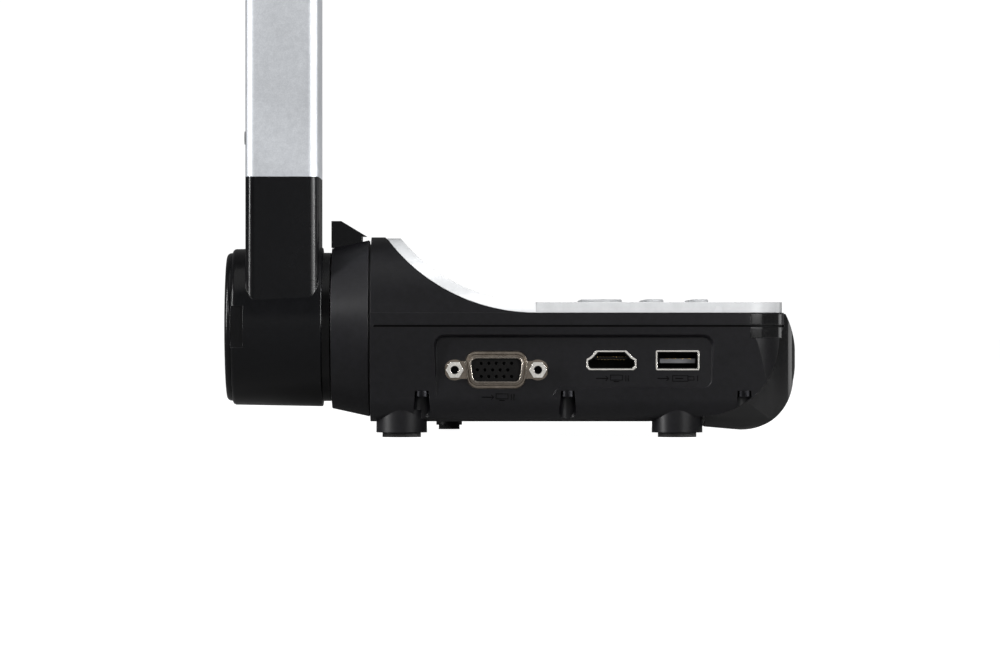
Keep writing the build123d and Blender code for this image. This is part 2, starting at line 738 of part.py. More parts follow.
def vga_jackscrews():
    found = []
    for side in (-1, 1):
        x = VGA_X + side * VGA_SCREW_PITCH / 2
        hexagon = Pos(x, VGA_Z) * RegularPolygon(JACK_HEX_R, 6)
        screw = along_y(hexagon, NEAR_Y, VGA_FLANGE_Y)
        screw += rod_y(JACK_SHANK_R, VGA_FLANGE_Y, JACK_END_Y, x, VGA_Z)
        found.append(screw - rod_y(JACK_THREAD_R, NEAR_Y - EPS, NEAR_Y + JACK_BORE, x, VGA_Z))
    return Compound(found)


def hdmi_shell(x, z, front_y, inward):
    """Plated can of an HDMI socket, open to the outside; inward is the way it goes in."""
    back_y = front_y + inward * HDMI_DEPTH
    can = along_y(hdmi_outline(x, z, 0), min(front_y, back_y), max(front_y, back_y))
    mouth = front_y - inward * EPS
    floor = back_y - inward * EPS
    return can - along_y(hdmi_outline(x, z, SHEET), min(mouth, floor), max(mouth, floor))


def hdmi_tongue(x, z, front_y, inward):
    sizes = (HDMI_TONGUE_W, HDMI_TONGUE_T)
    return socket_tongue(x, z + HDMI_TONGUE_UP, sizes, front_y, inward, (HDMI_TONGUE_BACK, HDMI_DEPTH))


def socket_tongue(x, z, sizes, front_y, inward, reach):
    """Contact tongue that stands on the back wall of a socket."""
    half_x, half_z = sizes[0] / 2, sizes[1] / 2
    ends = (front_y + inward * reach[0], front_y + inward * (reach[1] - EPS))
    return block(x - half_x, x + half_x, min(ends), max(ends), z - half_z, z + half_z)


def usb_shell():
    outer = Pos(USB_X, SOCKET_Z) * RectangleRounded(USB_W, USB_H, USB_CORNER_R)
    inner = Pos(USB_X, SOCKET_Z) * Rectangle(USB_W - 2 * SHEET, USB_H - 2 * SHEET)
    can = along_y(outer, SOCKET_FRONT_Y, SOCKET_FRONT_Y + USB_DEPTH)
    return can - along_y(inner, SOCKET_FRONT_Y - EPS, SOCKET_FRONT_Y + USB_DEPTH - EPS)


def dc_jack():
    x0, x1 = DC_X - DC_W / 2, DC_X + DC_W / 2
    z0, z1 = FAR_SOCKET_Z - DC_H / 2, FAR_SOCKET_Z + DC_H / 2
    body = block(x0, x1, FAR_Y - DC_DEPTH, FAR_Y, z0, z1)
    return body - rod_y(DC_BORE_R, FAR_Y - DC_DEPTH + 2, FAR_Y + EPS, DC_X, FAR_SOCKET_Z)


def dc_jack_pin():
    return rod_y(DC_PIN_R, FAR_Y - DC_DEPTH + 2, FAR_Y - 1.5, DC_X, FAR_SOCKET_Z)


# ---------------------------------------------------------------- collar, latch and swing joint
def collar_ring():
    span = COLLAR_FRONT_X - COLLAR_REAR_X
    cone = Pos(COLLAR_REAR_X + span / 2, 0, AXIS_Z) * Rot(0, 90, 0) * Cone(COLLAR_REAR_R, NECK_R, span)
    collar = cone + rod_x(NECK_R - 2, COLLAR_FRONT_X, 0)
    collar -= rod_x(COLLAR_CAVITY_R, COLLAR_REAR_X + COLLAR_BACK_T, EPS)
    collar -= rod_x(SHAFT_R + 1, COLLAR_REAR_X - EPS, EPS)
    collar -= rod_x(PIN_R + RUNNING_FIT, COLLAR_REAR_X - EPS, EPS, 0, PIN_Z)
    half = LATCH_HALF_W + SLIDE_FIT
    collar -= block(COLLAR_REAR_X - EPS, COLLAR_FRONT_X, -half, half, LATCH_FLOOR_Z - SLIDE_FIT, BIG)
    half = STEM_HALF_W + SLIDE_FIT
    collar -= block(STEM_X0 - 0.4, 0, -half, half, AXIS_Z + COLLAR_CAVITY_R / 2, BIG)
    return collar


def release_latch():
    """Wedge-shaped thumb slide with the stem that carries the detent pin."""
    points = [
        (LATCH_REAR_X, LATCH_FLOOR_Z),
        (LATCH_REAR_X, LATCH_TOP_Z),
        (LATCH_FLAT_X, LATCH_TOP_Z),
        (LATCH_TIP_X, LATCH_TIP_Z),
        (LATCH_BLOCK_X, LATCH_TIP_Z),
        (LATCH_BLOCK_X, LATCH_FLOOR_Z),
    ]
    wedge = along_y(make_face(Polyline(*points, close=True)), -LATCH_HALF_W, LATCH_HALF_W)
    stem = block(STEM_X0, STEM_X1, -STEM_HALF_W, STEM_HALF_W, STEM_LOW_Z, LATCH_FLOOR_Z)
    return wedge + stem - rod_x(PIN_R, STEM_X0 - EPS, STEM_X1 + EPS, 0, PIN_Z)


def detent_pin():
    return rod_x(PIN_R, PIN_TIP_X, STEM_X1, 0, PIN_Z)


def latch_spring():
    """Return spring between the stem and the rear wall of the neck."""
    length = -STEM_X1 - 2 * SPRING_WIRE_R - 2 * RUNNING_FIT
    path = Helix(pitch=length / SPRING_TURNS, height=length, radius=SPRING_R)
    profile = Plane(origin=path @ 0, z_dir=path % 0) * Circle(SPRING_WIRE_R)
    coil = sweep(profile, path=path, is_frenet=True)
    return Pos(STEM_X1 + SPRING_WIRE_R + RUNNING_FIT, 0, PIN_Z) * Rot(0, 90, 0) * coil


def swing_bracket():
    x1 = BRACKET_X0 + BRACKET_T
    low = BALLAST_Z + BALLAST_T
    half = BRACKET_HALF_W
    plate = block(BRACKET_X0, x1, -half, half, low, AXIS_Z) + rod_x(half, BRACKET_X0, x1)
    plate += block(BRACKET_X0, BRACKET_FOOT_X, BRACKET_FOOT_Y, half, low, low + BRACKET_FOOT_T)
    return plate - rod_x(BUSH_R, BRACKET_X0 - EPS, x1 + EPS)


def shaft_bush():
    x1 = BRACKET_X0 + BRACKET_T
    bush = rod_x(BUSH_R, EPS / 2, x1) + rod_x(BUSH_R + BUSH_FLANGE, x1, x1 + BUSH_FLANGE_T)
    return bush - rod_x(SHAFT_R + RUNNING_FIT, 0, x1 + 2)


def swing_shaft():
    """Steel shaft with a flange inside the drum."""
    shaft = rod_x(SHAFT_R, DRUM_WALL_X, SHAFT_END_X)
    return shaft + rod_x(SHAFT_FLANGE_R, DRUM_WALL_X - SHAFT_FLANGE_T, DRUM_WALL_X)


def shaft_nut():
    x0 = BRACKET_X0 + BRACKET_T + BUSH_FLANGE_T + NUT_GAP
    hexagon = Plane.YZ * RegularPolygon(NUT_R, 6)
    nut = Pos(x0, 0, AXIS_Z) * extrude(hexagon, NUT_T)
    return nut - rod_x(SHAFT_R, x0 - EPS, x0 + NUT_T + EPS)


def detent_disc():
    """Steel track disc; the pin runs in its quarter-turn slot."""
    disc = rod_x(DISC_R, HUB_FRONT_X - DISC_T, HUB_FRONT_X) - rod_x(SHAFT_R, -BIG / 2, BIG / 2)
    track_r = PIN_Z - AXIS_Z
    half = PIN_R + SLIDE_FIT
    x0 = HUB_FRONT_X - DISC_T - EPS
    ring = rod_x(track_r + half, x0, HUB_FRONT_X + EPS)
    ring -= rod_x(track_r - half, x0 - EPS, HUB_FRONT_X + 2 * EPS)
    track = ring & block(-BIG, BIG, -BIG, 0, AXIS_Z, BIG)
    for angle in (90, 180):
        place = (track_r * cos(radians(angle)), AXIS_Z + track_r * sin(radians(angle)))
        track += rod_x(half, x0, HUB_FRONT_X + EPS, *place)
    return disc - track


# ---------------------------------------------------------------- drum and lower arm
def arm_bar(inset, z0, z1):
    """Bar of the lower arm's section, drawn in by inset."""
    half_x = (ARM_X1 - ARM_X0) / 2 - inset
    corner = max(ARM_CORNER_R - inset, 1.0)
    return tube_z(half_x, ARM_HALF_Y - inset, corner, z0, z1, (ARM_X0 + ARM_X1) / 2)


def finger_notch():
    """Shallow notch in the rear edge of the drum, open to the end cap."""
    surface_y = -DRUM_REAR_R
    return block(NOTCH_X0 - EPS, NOTCH_X1, surface_y - EPS, surface_y + NOTCH_DEPTH, NOTCH_Z0, NOTCH_Z1)


def drum_housing():
    """Drum with the hub in front and the sleeve that takes the arm."""
    span = DRUM_FRONT_X - DRUM_CAP_X
    middle = Pos(DRUM_CAP_X + span / 2, 0, AXIS_Z)
    drum = middle * Rot(0, 90, 0) * Cone(DRUM_REAR_R, DRUM_FRONT_R, span)
    drum = fillet(drum.edges().filter_by(GeomType.CIRCLE).sort_by(Axis.X)[0], DRUM_EDGE_R)
    drum = fillet(drum.edges().filter_by(GeomType.CIRCLE).sort_by(Axis.X)[-1], DRUM_LIP_R)
    sleeve = arm_bar(0, AXIS_Z, SLEEVE_TOP_Z)
    tenon = arm_bar(TUBE_WALL, SLEEVE_TOP_Z, SLEEVE_TOP_Z + TENON_LEN)
    housing = drum + sleeve + tenon + rod_x(HUB_R, DRUM_FRONT_X, HUB_FRONT_X)
    channel = arm_bar(2 * TUBE_WALL + 1, AXIS_Z, SLEEVE_TOP_Z + TENON_LEN + EPS)
    housing -= rod_x(DRUM_BORE_R, DRUM_CAP_X - EPS, DRUM_WALL_X) + channel
    housing -= rod_x(DISC_R, HUB_FRONT_X - DISC_T, HUB_FRONT_X + EPS)
    housing -= rod_x(SHAFT_R, DRUM_WALL_X - EPS, HUB_FRONT_X + EPS)
    return housing - finger_notch() - Compound(arm_screw_bars(0))


def drum_end_cap():
    """Slightly domed cap with a spigot inside the drum."""
    cap_r = DRUM_REAR_R - DRUM_EDGE_R
    dome_r = cap_r**2 / (2 * CAP_BULGE)
    cap = rod_x(cap_r, REAR_X, DRUM_CAP_X) & (Pos(REAR_X + dome_r, 0, AXIS_Z) * Sphere(dome_r))
    cap = fillet(cap.faces().sort_by(Axis.X)[0].edges(), CAP_EDGE_R)
    cap += rod_x(DRUM_BORE_R - 0.1, DRUM_CAP_X, DRUM_CAP_X + 4)
    return cap - rod_x(DRUM_BORE_R - 3, DRUM_CAP_X, DRUM_CAP_X + 5)


def lower_arm_tube():
    tube = arm_bar(0, SLEEVE_TOP_Z, FORK_BASE_Z)
    return tube - arm_bar(TUBE_WALL, SLEEVE_TOP_Z - EPS, FORK_BASE_Z + EPS) - Compound(arm_screw_bars(0))


def arm_screw_bars(head_t):
    """Screws through the rear face of the arm into both tenons; head_t is how far a head stands out."""
    found = []
    for z in (SLEEVE_TOP_Z + TENON_LEN / 2, FORK_BASE_Z - TENON_LEN / 2):
        for y in (-ARM_SCREW_Y, ARM_SCREW_Y):
            shank = rod_x(SCREW_R, ARM_X0, ARM_X0 + 3 * TUBE_WALL, y, z)
            if head_t:
                shank += rod_x(2 * SCREW_R, ARM_X0 - head_t, ARM_X0, y, z)
            found.append(shank)
    return found


def arm_screws():
    return Compound(arm_screw_bars(ARM_SCREW_HEAD_T))


# ---------------------------------------------------------------- elbow and upper arm
def elbow_fork():
    """Block on top of the arm with two cheeks that carry the elbow pin."""
    body = arm_bar(0, FORK_BASE_Z, ELBOW_Z + FORK_R)
    body += arm_bar(TUBE_WALL, FORK_BASE_Z - TENON_LEN, FORK_BASE_Z)
    top = ELBOW_Z + FORK_R
    low_x = (ARM_X0 + ARM_X1) / 2
    cheek = make_face(
        Line((low_x, top), (ELBOW_X, top))
        + TangentArc((ELBOW_X, top), (ELBOW_X + FORK_R, ELBOW_Z), tangent=(1, 0))
        + TangentArc((ELBOW_X + FORK_R, ELBOW_Z), (ELBOW_X, ELBOW_Z - FORK_R), tangent=(0, -1))
        + Polyline((ELBOW_X, ELBOW_Z - FORK_R), (low_x, FORK_BASE_Z), (low_x, top))
    )
    for side in (-1, 1):
        ends = (side * FORK_INNER_Y, side * ARM_HALF_Y)
        body += along_y(cheek, min(ends), max(ends))
        head = (side * (ARM_HALF_Y - PIVOT_HEAD_T), side * (ARM_HALF_Y + EPS))
        body -= rod_y(PIVOT_HEAD_R, min(head), max(head), ELBOW_X, ELBOW_Z)
    body -= rod_y(KNUCKLE_R + EPS, -FORK_INNER_Y, FORK_INNER_Y, ELBOW_X, ELBOW_Z)
    r = FORK_REAR_R
    corner = block(ARM_X0 - EPS, ARM_X0 + r, -ARM_HALF_Y - EPS, ARM_HALF_Y + EPS, top - r, top + EPS)
    body -= corner - rod_y(r, -ARM_HALF_Y - EPS, ARM_HALF_Y + EPS, ARM_X0 + r, top - r)
    body -= Compound(arm_screw_bars(0))
    return body - rod_y(PIVOT_R, -ARM_HALF_Y, ARM_HALF_Y, ELBOW_X, ELBOW_Z)


def elbow_pin():
    pin = rod_y(PIVOT_R, -ARM_HALF_Y, ARM_HALF_Y, ELBOW_X, ELBOW_Z)
    for side in (-1, 1):
        ends = (side * (ARM_HALF_Y - PIVOT_HEAD_T), side * ARM_HALF_Y)
        pin += rod_y(PIVOT_HEAD_R, min(ends), max(ends), ELBOW_X, ELBOW_Z)
    return pin


def upper_bar(inset, x0, x1):
    """Bar of the upper arm's section, drawn in by inset."""
    corner = max(ARM_CORNER_R - inset, 1.0)
    return bar_x(ARM2_HALF_Y - inset, ARM2_HALF_Z - inset, corner, x0, x1, ELBOW_Z)


def elbow_knuckle():
    knuckle = rod_y(KNUCKLE_R, -ARM2_HALF_Y, ARM2_HALF_Y, ELBOW_X, ELBOW_Z)
    knuckle += upper_bar(0, ELBOW_X, ARM2_X0) + upper_bar(ARM2_WALL, ARM2_X0, ARM2_X0 + TENON_LEN / 2)
    return knuckle - rod_y(PIVOT_R + RUNNING_FIT, -ARM_HALF_Y, ARM_HALF_Y, ELBOW_X, ELBOW_Z)


def upper_arm_tube():
    return upper_bar(0, ARM2_X0, ARM2_X1) - upper_bar(ARM2_WALL, ARM2_X0 - EPS, ARM2_X1 + EPS)


def head_clevis():
    """Plug in the end of the upper arm with the tongue that carries the head."""
    plug = upper_bar(0, ARM2_X1, ARM2_X1 + 4) + upper_bar(ARM2_WALL, ARM2_X1 - TENON_LEN / 2, ARM2_X1)
    low, high = ELBOW_Z - TONGUE_R, ELBOW_Z + TONGUE_R
    plug += block(ARM2_X1, HEAD_PIN_X, -TONGUE_HALF_Y, TONGUE_HALF_Y, low, high)
    plug += rod_y(TONGUE_R, -TONGUE_HALF_Y, TONGUE_HALF_Y, HEAD_PIN_X, ELBOW_Z)
    return plug - rod_y(PIVOT_R + RUNNING_FIT, -ARM_HALF_Y, ARM_HALF_Y, HEAD_PIN_X, ELBOW_Z)


# ---------------------------------------------------------------- camera head
def head_block(inset, z0, z1):
    x0, x1 = HEAD_X0 + inset, FRONT_X - inset
    face = RectangleRounded(x1 - x0, 2 * (HEAD_HALF_Y - inset), HEAD_CORNER_R - inset)
    return Pos((x0 + x1) / 2, 0, z0) * extrude(face, z1 - z0)


def head_top_cover():
    """Deep upper cover with the two ears of the head hinge."""
    low, high = ELBOW_Z - HEAD_SPLIT, ELBOW_Z + HEAD_HIGH
    outer = head_block(0, low, high)
    outer = fillet(outer.faces().sort_by(Axis.Z)[-1].edges(), HEAD_TOP_R)
    cover = outer - head_block(HEAD_WALL, low - EPS, high - HEAD_WALL)
    for side in (-1, 1):
        ends = (side * (TONGUE_HALF_Y + EAR_GAP), side * ARM2_HALF_Y)
        cover += rod_y(EAR_R, min(ends), max(ends), HEAD_PIN_X, ELBOW_Z)
        cover += block(HEAD_PIN_X, HEAD_X0 + HEAD_WALL, min(ends), max(ends), low, ELBOW_Z + EAR_R)
    return cover - rod_y(PIVOT_R, -ARM_HALF_Y, ARM_HALF_Y, HEAD_PIN_X, ELBOW_Z)


def head_bottom_cover():
    low, high = ELBOW_Z - HEAD_LOW, ELBOW_Z - HEAD_SPLIT
    outer = head_block(0, low, high)
    outer = fillet(outer.faces().sort_by(Axis.Z)[0].edges(), HEAD_LOW_R)
    cover = outer - head_block(HEAD_WALL, low + HEAD_WALL, high + EPS)
    cover -= rod_z(LENS_R + 0.1, low - EPS, high, LENS_X, 0)
    half_x, half_y = LAMP_W / 2, LAMP_LEN / 2
    return cover - block(LAMP_X - half_x, LAMP_X + half_x, -half_y, half_y, low - EPS, high)


def head_pin():
    return rod_y(PIVOT_R, -ARM2_HALF_Y, ARM2_HALF_Y, HEAD_PIN_X, ELBOW_Z)


def lens_barrel():
    low = ELBOW_Z - HEAD_LOW
    barrel = rod_z(LENS_R, low + BARREL_UP, low + BARREL_TOP, LENS_X, 0)
    barrel -= rod_z(GLASS_R + GLASS_RIM, low - EPS, low + GLASS_UP - SLIDE_FIT, LENS_X, 0)
    return barrel - rod_z(GLASS_R, low, low + GLASS_TOP, LENS_X, 0)


def lens_glass():
    """Front element, slightly domed."""
    low = ELBOW_Z - HEAD_LOW
    disc = rod_z(GLASS_R, low + GLASS_UP, low + GLASS_TOP, LENS_X, 0)
    return disc & (Pos(LENS_X, 0, low + GLASS_UP + GLASS_DOME_R) * Sphere(GLASS_DOME_R))


def sensor_board():
    z0 = ELBOW_Z - HEAD_LOW + BARREL_TOP
    return block(*SENSOR_PLAN, z0, z0 + BOARD_T)


def led_diffuser():
    low = ELBOW_Z - HEAD_LOW
    half_x, half_y = LAMP_W / 2, LAMP_LEN / 2
    return block(LAMP_X - half_x, LAMP_X + half_x, -half_y, half_y, low + LAMP_UP, low + LAMP_TOP)


# ---------------------------------------------------------------- pieces
def base_pieces():
    save(lower_shell(), "lower_shell")
    save(upper_shell(), "upper_shell")
    save(top_cover(), "top_cover")
    save(front_nose(), "front_nose")
    save(window_pocket() - seam_groove(), "ir_window")
    save(case_screws(), "case_screws")
    save(ballast_plate(), "ballast_plate")
    save(main_board(), "main_board")
    save(keypad_board(), "keypad_board")
    save(key_switches(), "key_switches")
    names = ("foot_pad_near_rear", "foot_pad_near_front", "foot_pad_far_rear", "foot_pad_far_front")
    for name, (place, _, pad_r) in zip(names, feet()):
        save(rod_z(pad_r, 0, PAD_T, *place), name)
    for name, x, y, width, length in keys():
        save(key(x, y, width, length), name)


def socket_pieces():
    save(vga_shell(), "vga_shell")
    save(vga_insert(), "vga_insert")
    save(vga_jackscrews(), "vga_jackscrews")
    save(hdmi_shell(HDMI_X, SOCKET_Z, SOCKET_FRONT_Y, 1), "hdmi_shell")
    save(hdmi_tongue(HDMI_X, SOCKET_Z, SOCKET_FRONT_Y, 1), "hdmi_tongue")
    save(usb_shell(), "usb_shell")
    sizes, reach = (USB_TONGUE_W, USB_TONGUE_T), (USB_TONGUE_BACK, USB_DEPTH)
    save(socket_tongue(USB_X, SOCKET_Z - USB_TONGUE_DOWN, sizes, SOCKET_FRONT_Y, 1, reach), "usb_tongue")
    save(hdmi_shell(HDMI_OUT_X, FAR_SOCKET_Z, FAR_Y - 1, -1), "hdmi_out_shell")
    save(hdmi_tongue(HDMI_OUT_X, FAR_SOCKET_Z, FAR_Y - 1, -1), "hdmi_out_tongue")
    save(dc_jack(), "dc_jack")
    save(dc_jack_pin(), "dc_jack_pin")


def joint_pieces():
    save(collar_ring(), "collar_ring")
    save(release_latch(), "release_latch")
    save(detent_pin(), "detent_pin")
    save(latch_spring(), "latch_spring")
    save(swing_bracket(), "swing_bracket")
    save(shaft_bush(), "shaft_bush")
    save(swing_shaft(), "swing_shaft")
    save(shaft_nut(), "shaft_nut")
    save(detent_disc(), "detent_disc")


def arm_pieces():
    save(drum_housing(), "drum_housing")
    save(drum_end_cap(), "drum_end_cap")
    save(lower_arm_tube(), "lower_arm_tube")
    save(arm_screws(), "arm_screws")
    save(elbow_fork(), "elbow_fork")
    save(elbow_pin(), "elbow_pin")
    save(elbow_knuckle(), "elbow_knuckle")
    save(upper_arm_tube(), "upper_arm_tube")
    save(head_clevis(), "head_clevis")


def head_pieces():
    save(head_top_cover(), "head_top_cover")
    save(head_bottom_cover(), "head_bottom_cover")
    save(head_pin(), "head_pin")
    save(lens_barrel(), "lens_barrel")
    save(lens_glass(), "lens_glass")
    save(sensor_board(), "sensor_board")
    save(led_diffuser(), "led_diffuser")


os.makedirs("parts", exist_ok=True)
base_pieces()
socket_pieces()
joint_pieces()
arm_pieces()
head_pieces()
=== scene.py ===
import json
import math

import bmesh
import bpy
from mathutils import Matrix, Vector


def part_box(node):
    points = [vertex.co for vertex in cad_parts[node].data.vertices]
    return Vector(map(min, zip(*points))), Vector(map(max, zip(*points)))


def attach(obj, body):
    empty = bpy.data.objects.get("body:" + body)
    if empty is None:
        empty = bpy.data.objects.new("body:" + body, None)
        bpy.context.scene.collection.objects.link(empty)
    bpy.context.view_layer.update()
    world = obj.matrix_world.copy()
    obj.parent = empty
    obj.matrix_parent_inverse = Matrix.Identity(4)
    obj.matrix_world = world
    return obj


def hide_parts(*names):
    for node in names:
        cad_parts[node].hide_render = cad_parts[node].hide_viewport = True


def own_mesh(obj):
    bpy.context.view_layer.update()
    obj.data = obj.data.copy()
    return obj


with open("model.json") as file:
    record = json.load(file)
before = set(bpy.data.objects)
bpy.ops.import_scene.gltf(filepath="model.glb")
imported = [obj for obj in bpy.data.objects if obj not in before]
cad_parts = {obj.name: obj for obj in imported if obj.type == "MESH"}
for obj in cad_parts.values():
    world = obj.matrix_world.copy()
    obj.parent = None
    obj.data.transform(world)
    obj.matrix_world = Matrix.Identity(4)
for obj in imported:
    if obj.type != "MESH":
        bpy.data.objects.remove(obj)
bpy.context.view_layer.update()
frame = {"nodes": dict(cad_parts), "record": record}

MM = 0.001
NODES = frame["nodes"]
BODIES = frame["record"]["behaviour"]["bodies"]
BODY_OF = {node: body for body, nodes in BODIES.items() for node in nodes}

# Small parts that the frame has no node for
CAN_SHEET = 0.47 * MM
# Dark sheets that line the sockets, as painted shade inside them
LINER_SHEET = 0.25 * MM
LINER_SETBACK = 0.35 * MM
LINER_BACK = 1.3 * MM
HDMI_FOOT = 0.8 * MM
HDMI_SHOULDER = (1.2 * MM, 1.9 * MM)
HDMI_SLANT = (3.0 * MM, 2.6 * MM)
CONTACT_T = 0.07 * MM
# Size of the painted shadow strip in the gap between the shells
SEAM_HALF_H = 0.30 * MM
SEAM_OUTER = 0.28 * MM
SEAM_INNER = 0.52 * MM
BASE_CORNER_R = 12 * MM
THREAD_R = 1.25 * MM
THREAD_PITCH = 0.55 * MM
JACK_HEX_R = 2.7 * MM
SPRING_WIRE_R = 0.25 * MM
SPRING_TURNS = 4
BAFFLE_R = 8.7 * MM
BAFFLE_STEP = 0.18 * MM
BAFFLE_PITCH = 0.17 * MM

# Camera
CAMERA_LENS = 215.8
CAMERA_DISTANCE = 1.8
CAMERA_HEIGHT = 32 * MM
CAMERA_SHIFT = 23.35 * MM


def middle(node):
    low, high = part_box(node)
    return (Vector(low) + Vector(high)) / 2


# ---------------------------------------------------------------- materials
def add(tree, kind, **values):
    node = tree.nodes.new(kind)
    for name, value in values.items():
        setattr(node, name, value)
    return node


def noise(tree, coords, scale, detail=2.0, rough=0.5):
    node = add(tree, "ShaderNodeTexNoise")
    node.inputs["Scale"].default_value = scale
    node.inputs["Detail"].default_value = detail
    node.inputs["Roughness"].default_value = rough
    tree.links.new(coords, node.inputs["Vector"])
    return node.outputs["Fac"]


def remap(tree, value, low, high, start=0.3, end=0.7):
    node = add(tree, "ShaderNodeMapRange")
    tree.links.new(value, node.inputs["Value"])
    for name, number in (("From Min", start), ("From Max", end), ("To Min", low), ("To Max", high)):
        node.inputs[name].default_value = number
    return node.outputs["Result"]


def ramp(tree, value, *stops):
    node = add(tree, "ShaderNodeValToRGB")
    points = node.color_ramp.elements
    while len(points) < len(stops):
        points.new(0.5)
    for point, (place, colour) in zip(points, stops):
        point.position = place
        point.color = (*colour, 1)
    tree.links.new(value, node.inputs["Fac"])
    return node.outputs["Color"]


def blend_colour(tree, factor, a, b, kind="MIX"):
    node = add(tree, "ShaderNodeMix", data_type="RGBA", blend_type=kind)
    tree.links.new(factor, node.inputs["Factor"])
    for socket, value in ((node.inputs["A"], a), (node.inputs["B"], b)):
        if isinstance(value, tuple):
            socket.default_value = (*value, 1)
        else:
            tree.links.new(value, socket)
    return node.outputs["Result"]


def edge_mask(tree, radius):
    """Where a surface turns an edge, from 0 on the flat to 1, and the eased normal there."""
    eased = add(tree, "ShaderNodeBevel", samples=6)
    eased.inputs["Radius"].default_value = radius
    true = add(tree, "ShaderNodeNewGeometry")
    dot = add(tree, "ShaderNodeVectorMath", operation="DOT_PRODUCT")
    tree.links.new(eased.outputs["Normal"], dot.inputs[0])
    tree.links.new(true.outputs["Normal"], dot.inputs[1])
    return remap(tree, dot.outputs["Value"], 1.0, 0.0, 0.86, 0.995), eased.outputs["Normal"]


def surface(name, dark, light, rough, metal=0.0, grain=2500.0, bump=0.12, depth=0.03, coat=0.0,
            specular=0.5, edge_wear_and_highlight=None, edge_wear_and_highlight_amount=0.35, ease=0.25, smudge=0.05, extra=None):
    """Moulded or metal surface: mottled colour, handled roughness, edges lightened partly as wear and partly
    as painted highlight, and a fine grain.
    """
    made = bpy.data.materials.new(name)
    made.use_nodes = True
    tree = made.node_tree
    shader = tree.nodes["Principled BSDF"]
    coords = add(tree, "ShaderNodeTexCoord").outputs["Object"]
    broad = noise(tree, coords, 26.0, 4.0, 0.6)
    fine = noise(tree, coords, grain, 2.0)
    mottle = noise(tree, coords, grain / 6, 3.0, 0.65)
    colour = ramp(tree, mottle, (0.3, dark), (0.7, light))
    edge, normal = edge_mask(tree, ease * MM)
    if extra:
        colour = extra(tree, coords, colour)
    # Edges blend toward a lighter colour: partly rubbed wear, partly a painted highlight along every edge.
    if edge_wear_and_highlight:
        wear_and_highlight_mask = add(tree, "ShaderNodeMath", operation="MULTIPLY")
        tree.links.new(edge, wear_and_highlight_mask.inputs[0])
        tree.links.new(remap(tree, broad, 0.0, edge_wear_and_highlight_amount, 0.35, 0.65), wear_and_highlight_mask.inputs[1])
        colour = blend_colour(tree, wear_and_highlight_mask.outputs["Value"], colour, edge_wear_and_highlight)
    tree.links.new(colour, shader.inputs["Base Color"])
    tree.links.new(remap(tree, broad, rough - smudge, rough + smudge, 0.35, 0.65), shader.inputs["Roughness"])
    shader.inputs["Metallic"].default_value = metal
    shader.inputs["Coat Weight"].default_value = coat
    shader.inputs["Coat Roughness"].default_value = 0.08
    shader.inputs["Specular IOR Level"].default_value = specular
    relief = add(tree, "ShaderNodeBump")
    relief.inputs["Strength"].default_value = bump
    relief.inputs["Distance"].default_value = depth * MM
    tree.links.new(fine, relief.inputs["Height"])
    tree.links.new(normal, relief.inputs["Normal"])
    tree.links.new(relief.outputs["Normal"], shader.inputs["Normal"])
    return made


def traces(tree, coords, colour):
    """Copper tracks and pads under the green mask of a circuit board."""
    tracks = add(tree, "ShaderNodeTexBrick")
    tracks.inputs["Scale"].default_value = 260.0
    tracks.inputs["Mortar Size"].default_value = 0.035
    tree.links.new(coords, tracks.inputs["Vector"])
    pads = add(tree, "ShaderNodeTexVoronoi")
    pads.inputs["Scale"].default_value = 330.0
    tree.links.new(coords, pads.inputs["Vector"])
    green = blend_colour(tree, tracks.outputs["Fac"], colour, (0.03, 0.20, 0.07))
    where = remap(tree, pads.outputs["Distance"], 1.0, 0.0, 0.18, 0.22)
    return blend_colour(tree, where, green, (0.65, 0.6, 0.45))


def brushed(tree, coords, colour):
    """Short turned scratches."""
    waves = add(tree, "ShaderNodeTexWave", wave_type="RINGS")
    waves.inputs["Scale"].default_value = 500.0
    waves.inputs["Distortion"].default_value = 6.0
    tree.links.new(coords, waves.inputs["Vector"])
    where = remap(tree, waves.outputs["Fac"], 0.0, 0.25, 0.0, 1.0)
    return blend_colour(tree, where, colour, (0.35, 0.35, 0.36))


def speckle(tree, coords, colour):
    """Glints and pits of bead-blasted metal."""
    cells = add(tree, "ShaderNodeTexVoronoi")
    cells.inputs["Scale"].default_value = 2600.0
    tree.links.new(coords, cells.inputs["Vector"])
    where = remap(tree, cells.outputs["Distance"], 0.0, 0.32, 0.25, 0.75)
    return blend_colour(tree, where, colour, (0.50, 0.52, 0.55))


def prismatic(tree, coords, colour):
    """Fine cells of a light diffuser."""
    cells = add(tree, "ShaderNodeTexVoronoi")
    cells.inputs["Scale"].default_value = 900.0
    tree.links.new(coords, cells.inputs["Vector"])
    where = remap(tree, cells.outputs["Distance"], 0.0, 0.35, 0.1, 0.7)
    return blend_colour(tree, where, colour, (0.62, 0.60, 0.52))


BLACK = surface("moulded_black", (0.0034, 0.0033, 0.0044), (0.0062, 0.0060, 0.0078), 0.40,
                grain=3200.0, bump=0.22,
                specular=0.33, edge_wear_and_highlight=(0.05, 0.05, 0.052))
